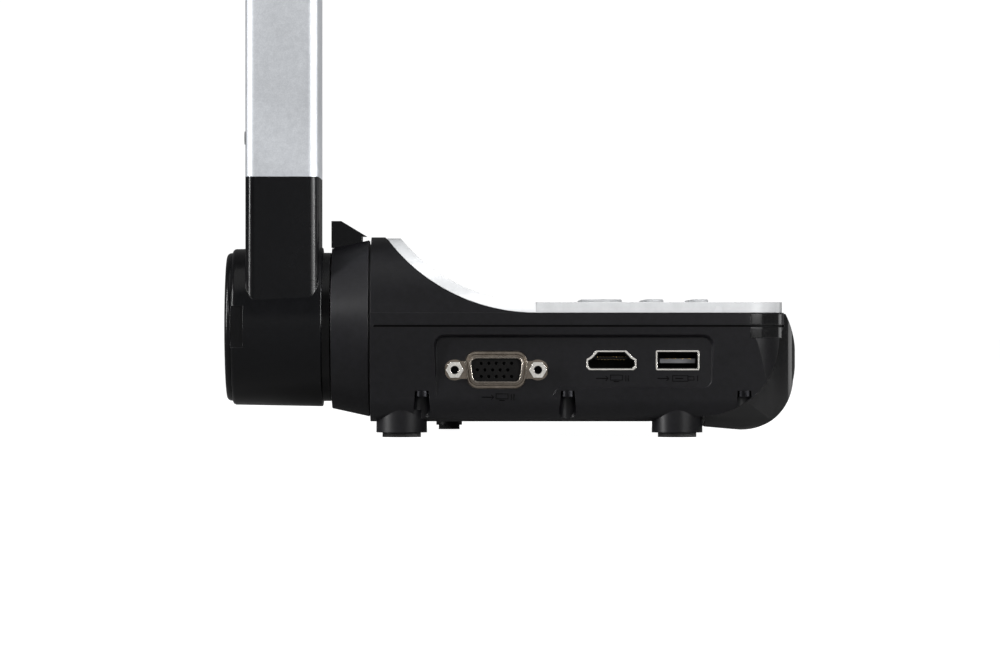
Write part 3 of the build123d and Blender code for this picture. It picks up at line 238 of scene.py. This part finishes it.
# Glossier copy of the moulded black for the drum and latch: the gloss is its finish, the darker colour is
# painted shade.
ARM_BLACK_SHADED = surface("arm_black_painted_shade", (0.0014, 0.0015, 0.0019), (0.0024, 0.0025, 0.0031), 0.24,
                    grain=3600.0, bump=0.08,
                    specular=0.26, edge_wear_and_highlight=(0.04, 0.04, 0.042))
GLOSS = surface("gloss_black", (0.004, 0.004, 0.0045), (0.006, 0.006, 0.0065), 0.10, grain=700.0, bump=0.03,
                coat=0.4, specular=0.45, edge_wear_and_highlight=(0.03, 0.03, 0.03), ease=0.4, smudge=0.03)
WHITE = surface("moulded_white", (0.60, 0.61, 0.62), (0.66, 0.67, 0.68), 0.26, grain=1800.0, bump=0.05,
                coat=0.25, edge_wear_and_highlight=(0.76, 0.76, 0.76), smudge=0.02)
KEY = surface("key_white", (0.60, 0.61, 0.62), (0.68, 0.69, 0.70), 0.34, grain=2400.0, bump=0.10,
              edge_wear_and_highlight=(0.78, 0.78, 0.78), smudge=0.06)
SILVER = surface("blasted_aluminium", (0.62, 0.64, 0.67), (0.72, 0.74, 0.77), 0.52,
                 metal=1.0, grain=4200.0, bump=0.35,
                 edge_wear_and_highlight=(0.88, 0.88, 0.90), ease=0.3, smudge=0.03, extra=speckle)
STEEL = surface("turned_steel", (0.42, 0.42, 0.43), (0.56, 0.56, 0.57), 0.30,
                metal=1.0, grain=1500.0, bump=0.10,
                edge_wear_and_highlight=(0.8, 0.8, 0.8), smudge=0.08, extra=brushed)
BRONZE = surface("sintered_bronze", (0.42, 0.25, 0.11), (0.58, 0.37, 0.17), 0.42,
                 metal=1.0, grain=2200.0, bump=0.25,
                 edge_wear_and_highlight=(0.75, 0.52, 0.28), smudge=0.08)
# Screw metal darkened as painted shade, for the screws deep in their wells and for the jackscrew bores.
SCREW_DARK_SHADE = surface("screw_black_painted_shade", (0.008, 0.008, 0.009), (0.018, 0.018, 0.020), 0.42,
                metal=1.0, grain=2600.0, bump=0.15,
                edge_wear_and_highlight=(0.07, 0.07, 0.07), smudge=0.08)
NICKEL = surface("plated_nickel", (0.62, 0.60, 0.56), (0.78, 0.76, 0.72), 0.20,
                 metal=1.0, grain=1600.0, bump=0.08,
                 edge_wear_and_highlight=(0.9, 0.88, 0.84), ease=0.12, smudge=0.05)
# Nickel for the VGA shell: its dark colour is painted shade, and its edges turn fully light as a painted
# highlight ring.
NICKEL_SHADED_LIT_RIM = surface("nickel_painted_shade_and_rim_highlight", (0.13, 0.11, 0.09), (0.22, 0.19, 0.16), 0.26,
                     metal=1.0, grain=1600.0, bump=0.10,
                     edge_wear_and_highlight=(0.95, 0.90, 0.82), edge_wear_and_highlight_amount=1.0, ease=0.3, smudge=0.06)
SOCKET_BLACK = surface("socket_black", (0.0016, 0.0015, 0.0015), (0.0034, 0.0032, 0.0030), 0.50,
                       grain=2500.0, bump=0.15,
                       specular=0.12, edge_wear_and_highlight=(0.02, 0.02, 0.02), ease=0.1)
SOCKET_WHITE = surface("socket_white", (0.055, 0.055, 0.06), (0.085, 0.085, 0.09), 0.38,
                       grain=2000.0, bump=0.08,
                       edge_wear_and_highlight=(0.16, 0.16, 0.16), ease=0.1)
RUBBER = surface("foot_rubber", (0.010, 0.010, 0.010), (0.022, 0.022, 0.022), 0.72, grain=1400.0, bump=0.35,
                 specular=0.3, edge_wear_and_highlight=(0.07, 0.07, 0.07), smudge=0.06)
BOARD = surface("board_green", (0.012, 0.11, 0.035), (0.020, 0.15, 0.05), 0.34,
                grain=900.0, bump=0.08, coat=0.3,
                edge_wear_and_highlight=(0.45, 0.36, 0.18), extra=traces)
LENS_BLACK = surface("lens_black", (0.006, 0.006, 0.007), (0.012, 0.012, 0.013), 0.30,
                     grain=2600.0, bump=0.12,
                     edge_wear_and_highlight=(0.10, 0.10, 0.10))
DIFFUSER = surface("diffuser", (0.80, 0.79, 0.74), (0.88, 0.87, 0.82), 0.30,
                   grain=1200.0, bump=0.2, coat=0.2,
                   edge_wear_and_highlight=(0.95, 0.95, 0.92), extra=prismatic)
GOLD = surface("contact_gold", (0.78, 0.53, 0.20), (0.90, 0.66, 0.30), 0.24,
               metal=1.0, grain=1800.0, bump=0.06,
               edge_wear_and_highlight=(0.95, 0.78, 0.45), ease=0.05, smudge=0.05)
INK = surface("key_ink", (0.10, 0.11, 0.12), (0.15, 0.16, 0.17), 0.42, grain=3000.0, bump=0.06,
              edge_wear_and_highlight=(0.2, 0.2, 0.2), ease=0.04)
# Dark black for the marks under the sockets, also used for the painted shadow strip in the gap between the
# shells.
MARK_AND_SEAM_SHADE = surface("marks_and_seam_shade_black", (0.0006, 0.0006, 0.0007), (0.0014, 0.0014, 0.0016), 0.60,
               grain=3200.0, bump=0.08,
               specular=0.06, edge_wear_and_highlight=(0.006, 0.006, 0.006), ease=0.05)
GLASS = surface("coated_glass", (0.010, 0.012, 0.020), (0.018, 0.014, 0.030), 0.04, grain=400.0, bump=0.01,
                coat=1.0, specular=0.6, ease=0.1, smudge=0.02)

MATERIALS = {
    "black_plastic": BLACK, "white_plastic": WHITE, "gloss_black": GLOSS, "key_plastic": KEY,
    "satin_aluminium": SILVER, "steel": STEEL, "bronze": BRONZE, "screw_steel": SCREW_DARK_SHADE, "nickel": NICKEL,
    "connector_black": SOCKET_BLACK, "connector_white": SOCKET_WHITE, "foot_rubber": RUBBER,
    "circuit_board": BOARD, "lens_black": LENS_BLACK, "lens_glass": GLASS, "diffuser": DIFFUSER,
}
# Nodes whose finish differs from their slot's; the drum black is darkened as painted shade, and the VGA shell
# nickel is darkened as painted shade with a painted highlight on its rim
SPECIAL = {
    "drum_housing": ARM_BLACK_SHADED, "drum_end_cap": ARM_BLACK_SHADED, "release_latch": ARM_BLACK_SHADED,
    "vga_shell": NICKEL_SHADED_LIT_RIM,
}


def dress_cad():
    """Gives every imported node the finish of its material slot."""
    for part in frame["record"]["subparts"]:
        mesh = NODES[part["node"]].data
        mesh.materials.clear()
        mesh.materials.append(SPECIAL.get(part["node"], MATERIALS[part["material_slot"]]))


# ---------------------------------------------------------------- mesh helpers
def show(mesh_or_curve, name, body, material):
    piece = bpy.data.objects.new(name, mesh_or_curve)
    bpy.context.scene.collection.objects.link(piece)
    mesh_or_curve.materials.append(material)
    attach(piece, body)
    return piece


def finish_mesh(bm, name, body, material, smooth=True):
    bmesh.ops.recalc_face_normals(bm, faces=bm.faces)
    mesh = bpy.data.meshes.new(name)
    bm.to_mesh(mesh)
    bm.free()
    if smooth:
        mesh.shade_smooth()
        mesh.set_sharp_from_angle(angle=math.radians(35))
    return show(mesh, name, body, material)


def add_box(bm, low, high, chamfer=0.0):
    """A block with chamfered edges, between two corners."""
    low, high = Vector(low), Vector(high)
    made = bmesh.ops.create_cube(bm, size=1.0)
    verts = made["verts"]
    for vert in verts:
        vert.co = Vector((low[i] + (vert.co[i] + 0.5) * (high[i] - low[i]) for i in range(3)))
    if chamfer:
        edges = list({edge for vert in verts for edge in vert.link_edges})
        bmesh.ops.bevel(bm, geom=edges, offset=chamfer, segments=2, affect="EDGES", profile=0.5)


def add_turning(bm, centre, axis, profile, steps=64):
    """Turns (radius, along) points round an axis through centre."""
    axis = Vector(axis).normalized()
    side = axis.orthogonal().normalized()
    other = axis.cross(side)
    rings = []
    for radius, along in profile:
        ring = []
        for k in range(steps):
            angle = 2 * math.pi * k / steps
            out = side * math.cos(angle) + other * math.sin(angle)
            ring.append(bm.verts.new(Vector(centre) + axis * along + out * radius))
        rings.append(ring)
    for first, second in zip(rings, rings[1:] + rings[:1]):
        for k in range(steps):
            n = (k + 1) % steps
            bm.faces.new((first[k], first[n], second[n], second[k]))


def stroke_curve(name, paths, place, thick):
    """Rounded strokes in one plane: paths are (points, closed), and place puts a flat point on the object."""
    curve = bpy.data.curves.new(name, "CURVE")
    curve.dimensions = "3D"
    curve.bevel_depth = thick
    curve.bevel_resolution = 2
    curve.use_fill_caps = True
    for points, closed in paths:
        spline = curve.splines.new("POLY")
        spline.points.add(len(points) - 1)
        for point, (u, v) in zip(spline.points, points):
            point.co = (*place(u, v), 1)
        spline.use_cyclic_u = closed
    return curve


def ring_points(u, v, radius, start=0.0, end=360.0, steps=28):
    turn = [math.radians(start + (end - start) * k / steps) for k in range(steps + 1)]
    return [(u + radius * math.cos(t), v + radius * math.sin(t)) for t in turn]


def frame_points(u, v, width, height):
    w, h = width / 2, height / 2
    return [(u - w, v - h), (u + w, v - h), (u + w, v + h), (u - w, v + h)]


# ---------------------------------------------------------------- marks under the sockets
def arrow(u, v, length, head):
    tip = u + length
    return [([(u, v), (tip, v)], False), ([(tip - head, v + head), (tip, v), (tip - head, v - head)], False)]


def screen_mark():
    """An arrow that goes into a screen on its foot."""
    paths = arrow(-4.9, 0, 3.6, 0.7)
    paths += [(frame_points(1.2, 0.25, 3.6, 1.5), True), ([(0.4, -0.95), (2.0, -0.95)], False)]
    paths += [([(4.0, -0.9), (4.0, 0.9)], False), ([(4.8, -0.9), (4.8, 0.9)], False)]
    return paths


def memory_mark():
    """An arrow that goes into a memory stick."""
    paths = arrow(-6.2, 0, 3.4, 0.7)
    paths += [(frame_points(0.6, 0, 4.6, 1.7), True), (frame_points(3.8, 0, 1.8, 1.0), True)]
    paths += [([(-0.9, 0), (1.4, 0)], False), ([(5.8, -0.8), (5.8, 0.8)], False)]
    return paths


def port_marks():
    low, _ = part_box("hdmi_shell")
    wall_y = low[1] + 0.2 * MM
    vga, hdmi, usb = middle("vga_insert"), middle("hdmi_shell"), middle("usb_shell")
    marks = (("mark_display_a", screen_mark(), vga.x + 0.5 * MM, vga.z - 8.2 * MM),
             ("mark_display_b", screen_mark(), hdmi.x + 0.3 * MM, hdmi.z - 5.45 * MM),
             ("mark_memory", memory_mark(), usb.x + 0.2 * MM, usb.z - 5.45 * MM))
    for name, paths, x, z in marks:
        def place(u, v, x=x, z=z):
            return (x + u * MM, wall_y, z + v * MM)
        show(stroke_curve(name, paths, place, 0.16 * MM), name, "base", MARK_AND_SEAM_SHADE)


# ---------------------------------------------------------------- printed key marks
def key_marks():
    star = [([(1.7 * math.cos(t), 1.7 * math.sin(t)), (-1.7 * math.cos(t), -1.7 * math.sin(t))], False)
            for t in (math.radians(a) for a in (30, 90, 150))]
    designs = {
        "key_power": [(ring_points(0, 0, 1.9, 120, 420), False), ([(0, 0.6), (0, 2.4)], False)],
        "key_source": [(frame_points(0, 0, 4.4, 3.2), True), ([(-0.9, 0), (0.9, 0)], False),
                       ([(0.3, 0.6), (0.9, 0), (0.3, -0.6)], False)],
        "key_freeze": star,
        "key_zoom_out": [(ring_points(0, 0.2, 1.5), True), ([(-0.7, 0.2), (0.7, 0.2)], False),
                         ([(1.1, -0.9), (2.1, -1.9)], False)],
        "key_focus": [([(-2, 1), (-2, 2), (-1, 2)], False), ([(2, 1), (2, 2), (1, 2)], False),
                      ([(-2, -1), (-2, -2), (-1, -2)], False), ([(2, -1), (2, -2), (1, -2)], False),
                      (ring_points(0, 0, 0.6), True)],
        "key_zoom_in": [(ring_points(0, 0.2, 1.5), True), ([(-0.7, 0.2), (0.7, 0.2)], False),
                        ([(0, -0.5), (0, 0.9)], False), ([(1.1, -0.9), (2.1, -1.9)], False)],
        "key_previous": [([(0.8, 1.5), (-1.1, 0), (0.8, -1.5)], False)],
        "key_menu": [([(-1.6, v), (1.6, v)], False) for v in (-1.0, 0.0, 1.0)],
        "key_next": [([(-0.8, 1.5), (1.1, 0), (-0.8, -1.5)], False)],
    }
    for node, paths in designs.items():
        centre = middle(node)
        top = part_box(node)[1][2] - 0.06 * MM

        def place(u, v, centre=centre, top=top):
            return (centre.x - v * MM * 0.85, centre.y + u * MM, top)
        name = node + "_mark"
        show(stroke_curve(name, paths, place, 0.13 * MM), name, BODY_OF[node], INK)


# ---------------------------------------------------------------- painted shadow line between the shells
def seam_path(inset):
    """Plan of the shadow gap: square near rear corner, the others rounded."""
    low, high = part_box("lower_shell")
    x0, x1 = low[0] + 1.05 * MM, high[0] - inset
    y0, y1 = low[1] + inset, high[1] - inset
    r = BASE_CORNER_R - inset
    path = [(x0, y0)]
    for x, y, start in ((x1 - r, y0 + r, -90), (x1 - r, y1 - r, 0)):
        path += ring_points(x, y, r, start, start + 90, 12)
    return path + [(x0 + 11 * MM, y1)]


def seam_painted_shadow():
    """Dark strip on the floor of the gap between the shells: painted shadow that darkens the gap."""
    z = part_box("lower_shell")[1][2]
    bm = bmesh.new()
    rings = []
    half, wide = SEAM_HALF_H, 1.1 * SEAM_HALF_H
    for inset, dz in ((SEAM_OUTER, -half), (SEAM_OUTER, half), (SEAM_INNER, wide), (SEAM_INNER, -wide)):
        rings.append([bm.verts.new((x, y, z + dz)) for x, y in seam_path(inset)])
    for first, second in zip(rings, rings[1:] + rings[:1]):
        for k in range(len(first) - 1):
            bm.faces.new((first[k], first[k + 1], second[k + 1], second[k]))
    bm.faces.new([ring[0] for ring in rings])
    bm.faces.new([ring[-1] for ring in reversed(rings)])
    finish_mesh(bm, "seam_painted_shadow", "base", MARK_AND_SEAM_SHADE, smooth=False)


# ---------------------------------------------------------------- contacts in the sockets
def flat_contacts(name, node, side, count, pitch, width, face):
    """Gold strips along one face of a socket's tongue, from its mouth inwards."""
    low, high = (Vector(corner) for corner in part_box(node))
    centre_x = (low.x + high.x) / 2
    z = high.z if face > 0 else low.z
    mouth, back = (low.y, high.y) if side < 0 else (high.y, low.y)
    inward = 1 if side < 0 else -1
    bm = bmesh.new()
    for k in range(count):
        x = centre_x + (k - (count - 1) / 2) * pitch
        y0, y1 = sorted((mouth + inward * 0.05 * MM, back - inward * 2 * MM))
        add_box(bm, (x - width / 2, y0, z - CONTACT_T), (x + width / 2, y1, z + CONTACT_T), 0.02 * MM)
    finish_mesh(bm, name, "base", GOLD)


def can_outline(node, shrink):
    """Outline of the inside of an HDMI can, from its box; u across, v up."""
    low, high = (Vector(corner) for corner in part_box(node))
    w, h = (high.x - low.x) / 2 - shrink, (high.z - low.z) / 2 - shrink
    half = [(w - HDMI_FOOT, -h), (w, -h + HDMI_FOOT), (w, h - HDMI_SLANT[1])]
    half += [(w - HDMI_SHOULDER[0], h - HDMI_SHOULDER[1]), (w - HDMI_SLANT[0], h)]
    return half + [(-u, v) for u, v in reversed(half)]


def box_outline(node, shrink):
    low, high = (Vector(corner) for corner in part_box(node))
    w, h = (high.x - low.x) / 2 - shrink, (high.z - low.z) / 2 - shrink
    return [(w, -h), (w, h), (-w, h), (-w, -h)]


def socket_shade_liner(name, node, outline, side):
    """Dark sheet that lines the inside of a socket, with its back wall: painted shade inside the socket."""
    low, high = (Vector(corner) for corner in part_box(node))
    centre = (low + high) / 2
    inward = -side
    mouth = (low.y if side < 0 else high.y) + inward * LINER_SETBACK
    back = (high.y if side < 0 else low.y) - inward * LINER_BACK
    thick = CAN_SHEET + LINER_SHEET
    bm = bmesh.new()
    rings = []
    floor = back - inward * 0.2 * MM
    for shrink, y in ((CAN_SHEET, mouth), (CAN_SHEET, back), (thick, floor), (thick, mouth)):
        points = outline(node, shrink)
        rings.append([bm.verts.new((centre.x + u, y, centre.z + v)) for u, v in points])
    count = len(rings[0])
    for first, second in zip(rings, rings[1:] + rings[:1]):
        for k in range(count):
            n = (k + 1) % count
            bm.faces.new((first[k], first[n], second[n], second[k]))
    bm.faces.new([bm.verts.new(vert.co.copy()) for vert in rings[2]])
    finish_mesh(bm, name, "base", SOCKET_BLACK, smooth=False)


def screw_threads():
    """Turned thread crests down the bore of each jackscrew, over a dark floor; crests and floor take the
    darkened screw metal as painted shade in the bore.
    """
    low, high = (Vector(corner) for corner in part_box("vga_jackscrews"))
    centre_z = (low.z + high.z) / 2
    bm = bmesh.new()
    for x in (low.x + JACK_HEX_R, high.x - JACK_HEX_R):
        mouth = (x, low.y, centre_z)
        for k in range(6):
            along = 0.15 * MM + k * THREAD_PITCH
            root, tip = along + 0.4 * MM, along + 0.2 * MM
            crest = [(THREAD_R, along), (THREAD_R, root), (THREAD_R - 0.17 * MM, tip)]
            add_turning(bm, mouth, (0, 1, 0), crest, 40)
        # Dark floor disc deep in the bore: painted shade.
        top, bottom = 3.6 * MM, 3.9 * MM
        rim, hub = THREAD_R - 0.03 * MM, 0.01 * MM
        floor = [(rim, top), (rim, bottom), (hub, bottom), (hub, top)]
        add_turning(bm, mouth, (0, 1, 0), floor, 40)
    finish_mesh(bm, "jackscrew_threads_shaded", "base", SCREW_DARK_SHADE)


# ---------------------------------------------------------------- latch spring
def latch_coil():
    """Round-wire return spring, built as a fixed coil in place of the spring part, against the rear wall of
    the neck.
    """
    low, high = (Vector(corner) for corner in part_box("latch_spring"))
    centre = (low + high) / 2
    wire = SPRING_WIRE_R
    radius = (high.z - low.z) / 2 - wire
    length = high.x - low.x - 2 * wire
    steps, sides = 48, 10
    along = Vector((1, 0, 0))
    rings = []
    bm = bmesh.new()
    for k in range(SPRING_TURNS * steps + 1):
        turn = 2 * math.pi * k / steps
        out = Vector((0, math.cos(turn), math.sin(turn)))
        x = low.x + wire + length * k / (SPRING_TURNS * steps)
        core = Vector((x, centre.y, centre.z)) + radius * out
        ring = []
        for j in range(sides):
            a = 2 * math.pi * j / sides
            ring.append(bm.verts.new(core + wire * (math.cos(a) * out + math.sin(a) * along)))
        rings.append(ring)
    for first, second in zip(rings, rings[1:]):
        for j in range(sides):
            n = (j + 1) % sides
            bm.faces.new((first[j], first[n], second[n], second[j]))
    bm.faces.new(rings[0])
    bm.faces.new(rings[-1][::-1])
    coil = finish_mesh(bm, "latch_coil", BODY_OF["latch_spring"], STEEL)
    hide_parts("latch_spring")
    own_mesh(coil)


# ---------------------------------------------------------------- lens trim
def lens_trim():
    """Stepped baffle rings in front of the glass."""
    centre = middle("lens_barrel")
    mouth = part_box("lens_barrel")[0][2]
    bm = bmesh.new()
    for k in range(4):
        radius = BAFFLE_R - k * BAFFLE_STEP
        along = BAFFLE_STEP + k * BAFFLE_PITCH
        profile = [(radius + 0.25 * MM, along), (radius + 0.25 * MM, along + 0.1 * MM),
                   (radius, along + 0.1 * MM), (radius, along)]
        add_turning(bm, (centre.x, centre.y, mouth), (0, 0, 1), profile, 96)
    finish_mesh(bm, "lens_baffles", BODY_OF["lens_barrel"], LENS_BLACK)


# ---------------------------------------------------------------- stage
def stage_floor():
    bm = bmesh.new()
    bmesh.ops.create_grid(bm, x_segments=8, y_segments=8, size=30.0)
    mesh = bpy.data.meshes.new("floor")
    bm.to_mesh(mesh)
    bm.free()
    floor = bpy.data.objects.new("floor", mesh)
    bpy.context.scene.collection.objects.link(floor)
    floor.location.z = -0.0001
    made = bpy.data.materials.new("pale_floor")
    made.use_nodes = True
    tree = made.node_tree
    tree.nodes.clear()
    out = add(tree, "ShaderNodeOutputMaterial")
    matte = add(tree, "ShaderNodeBsdfDiffuse")
    matte.inputs["Color"].default_value = (0.22, 0.22, 0.22, 1)
    glow = add(tree, "ShaderNodeEmission")
    both = add(tree, "ShaderNodeAddShader")
    seen = add(tree, "ShaderNodeLightPath")
    tree.links.new(remap(tree, seen.outputs["Is Camera Ray"], 0.04, 1.0, 0.0, 1.0), glow.inputs["Strength"])
    tree.links.new(matte.outputs[0], both.inputs[0])
    tree.links.new(glow.outputs[0], both.inputs[1])
    tree.links.new(both.outputs[0], out.inputs["Surface"])
    mesh.materials.append(made)


def studio_world():
    world = bpy.data.worlds.new("studio")
    bpy.context.scene.world = world
    world.use_nodes = True
    tree = world.node_tree
    seen = add(tree, "ShaderNodeLightPath")
    strength = remap(tree, seen.outputs["Is Camera Ray"], 0.12, 1.05, 0.0, 1.0)
    tree.links.new(strength, tree.nodes["Background"].inputs["Strength"])
    tree.nodes["Background"].inputs["Color"].default_value = (1, 1, 1, 1)


def soft_light(name, place, size, size_y, radiance, target):
    light = bpy.data.lights.new(name, "AREA")
    light.shape = "RECTANGLE"
    light.size, light.size_y = size, size_y
    light.energy = radiance * math.pi * size * size_y
    lamp = bpy.data.objects.new(name, light)
    bpy.context.scene.collection.objects.link(lamp)
    lamp.location = place
    lamp.rotation_euler = (Vector(target) - Vector(place)).to_track_quat("-Z", "Y").to_euler()
    return lamp


def around(target, azimuth, elevation, distance):
    """A place at an angle round the target; azimuth 0 is in front of the socket side, 90 the nose side."""
    a, e = math.radians(azimuth), math.radians(elevation)
    return target + distance * Vector((math.sin(a) * math.cos(e), -math.cos(a) * math.cos(e), math.sin(e)))


def upright_strip(name, azimuth, width, radiance, target):
    """A tall strip that stands just clear of the floor and faces the object level."""
    place = around(Vector((target.x, target.y, 0.86)), azimuth, 0, 1.7)
    return soft_light(name, place, width, 1.6, radiance, Vector((target.x, target.y, 0.86)))


def link_light(lamp, names, state):
    """Limits a light to the named pieces, or keeps it off them."""
    group = bpy.data.collections.new(lamp.name + "_pieces")
    for name in names:
        group.objects.link(NODES[name])
    for member in group.collection_objects:
        member.light_linking.link_state = state
    lamp.light_linking.receiver_collection = group


def lights():
    target = middle("collar_ring")
    soft_light("camera_bank", around(target, 3, 2, 2.6), 1.7, 1.4, 0.30, target)
    covers = ["top_cover", "head_top_cover"]
    white = covers + [name for name in NODES if name.startswith("key_")]
    left = upright_strip("left_strip", -67, 0.24, 38.0, target)
    link_light(left, white, "EXCLUDE")
    right = upright_strip("right_strip", 65, 0.26, 46.0, target)
    link_light(right, white + ["lower_shell", "upper_shell", "front_nose", "ir_window"], "EXCLUDE")
    soft_light("collar_box", around(target, -27, 27, 1.7), 0.34, 0.30, 9.0, target)
    soft_light("overhead", around(target, 20, 78, 1.8), 1.4, 1.2, 0.8, target)
    nose = middle("front_nose")
    soft_light("nose_box", around(nose, 30, 12, 0.5), 0.22, 0.16, 7.0, nose)
    soft_light("nose_rim", around(nose, 122, 6, 0.9), 0.30, 0.24, 0.9, nose)
    deck = soft_light("cover_box", around(nose, 5, 32, 1.6), 0.8, 0.6, 7.8, middle("top_cover"))
    link_light(deck, covers, "INCLUDE")
    above = soft_light("cover_top", around(nose, -60, 72, 1.9), 1.2, 1.2, 5.5, middle("top_cover"))
    link_light(above, white, "INCLUDE")
    sockets = soft_light("socket_box", around(nose, 2, 3, 2.2), 1.3, 1.0, 0.7, middle("vga_insert"))
    link_light(sockets, ("vga_shell", "vga_jackscrews", "hdmi_shell", "usb_shell"), "INCLUDE")


def camera():
    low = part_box("lower_shell")[0]
    data = bpy.data.cameras.new("camera")
    data.sensor_width = 36.0
    data.lens = CAMERA_LENS
    data.clip_start, data.clip_end = 0.05, 100.0
    cam = bpy.data.objects.new("camera", data)
    bpy.context.scene.collection.objects.link(cam)
    cam.location = (middle("upper_shell").x - CAMERA_SHIFT, low[1] - CAMERA_DISTANCE, CAMERA_HEIGHT)
    cam.rotation_euler = (math.radians(90), 0, 0)
    bpy.context.scene.camera = cam


dress_cad()
port_marks()
key_marks()
flat_contacts("usb_contacts", "usb_tongue", -1, 4, 2.2 * MM, 1.2 * MM, 1)
flat_contacts("hdmi_contacts", "hdmi_tongue", -1, 10, 0.95 * MM, 0.4 * MM, 1)
flat_contacts("hdmi_contacts_low", "hdmi_tongue", -1, 9, 0.95 * MM, 0.4 * MM, -1)
flat_contacts("hdmi_out_contacts", "hdmi_out_tongue", 1, 10, 0.95 * MM, 0.4 * MM, 1)
socket_shade_liner("hdmi_shade_liner", "hdmi_shell", can_outline, -1)
socket_shade_liner("hdmi_out_shade_liner", "hdmi_out_shell", can_outline, 1)
socket_shade_liner("usb_shade_liner", "usb_shell", box_outline, -1)
seam_painted_shadow()
screw_threads()
latch_coil()
lens_trim()
stage_floor()
studio_world()
lights()
camera()
bpy.context.scene.view_settings.view_transform = "Standard"
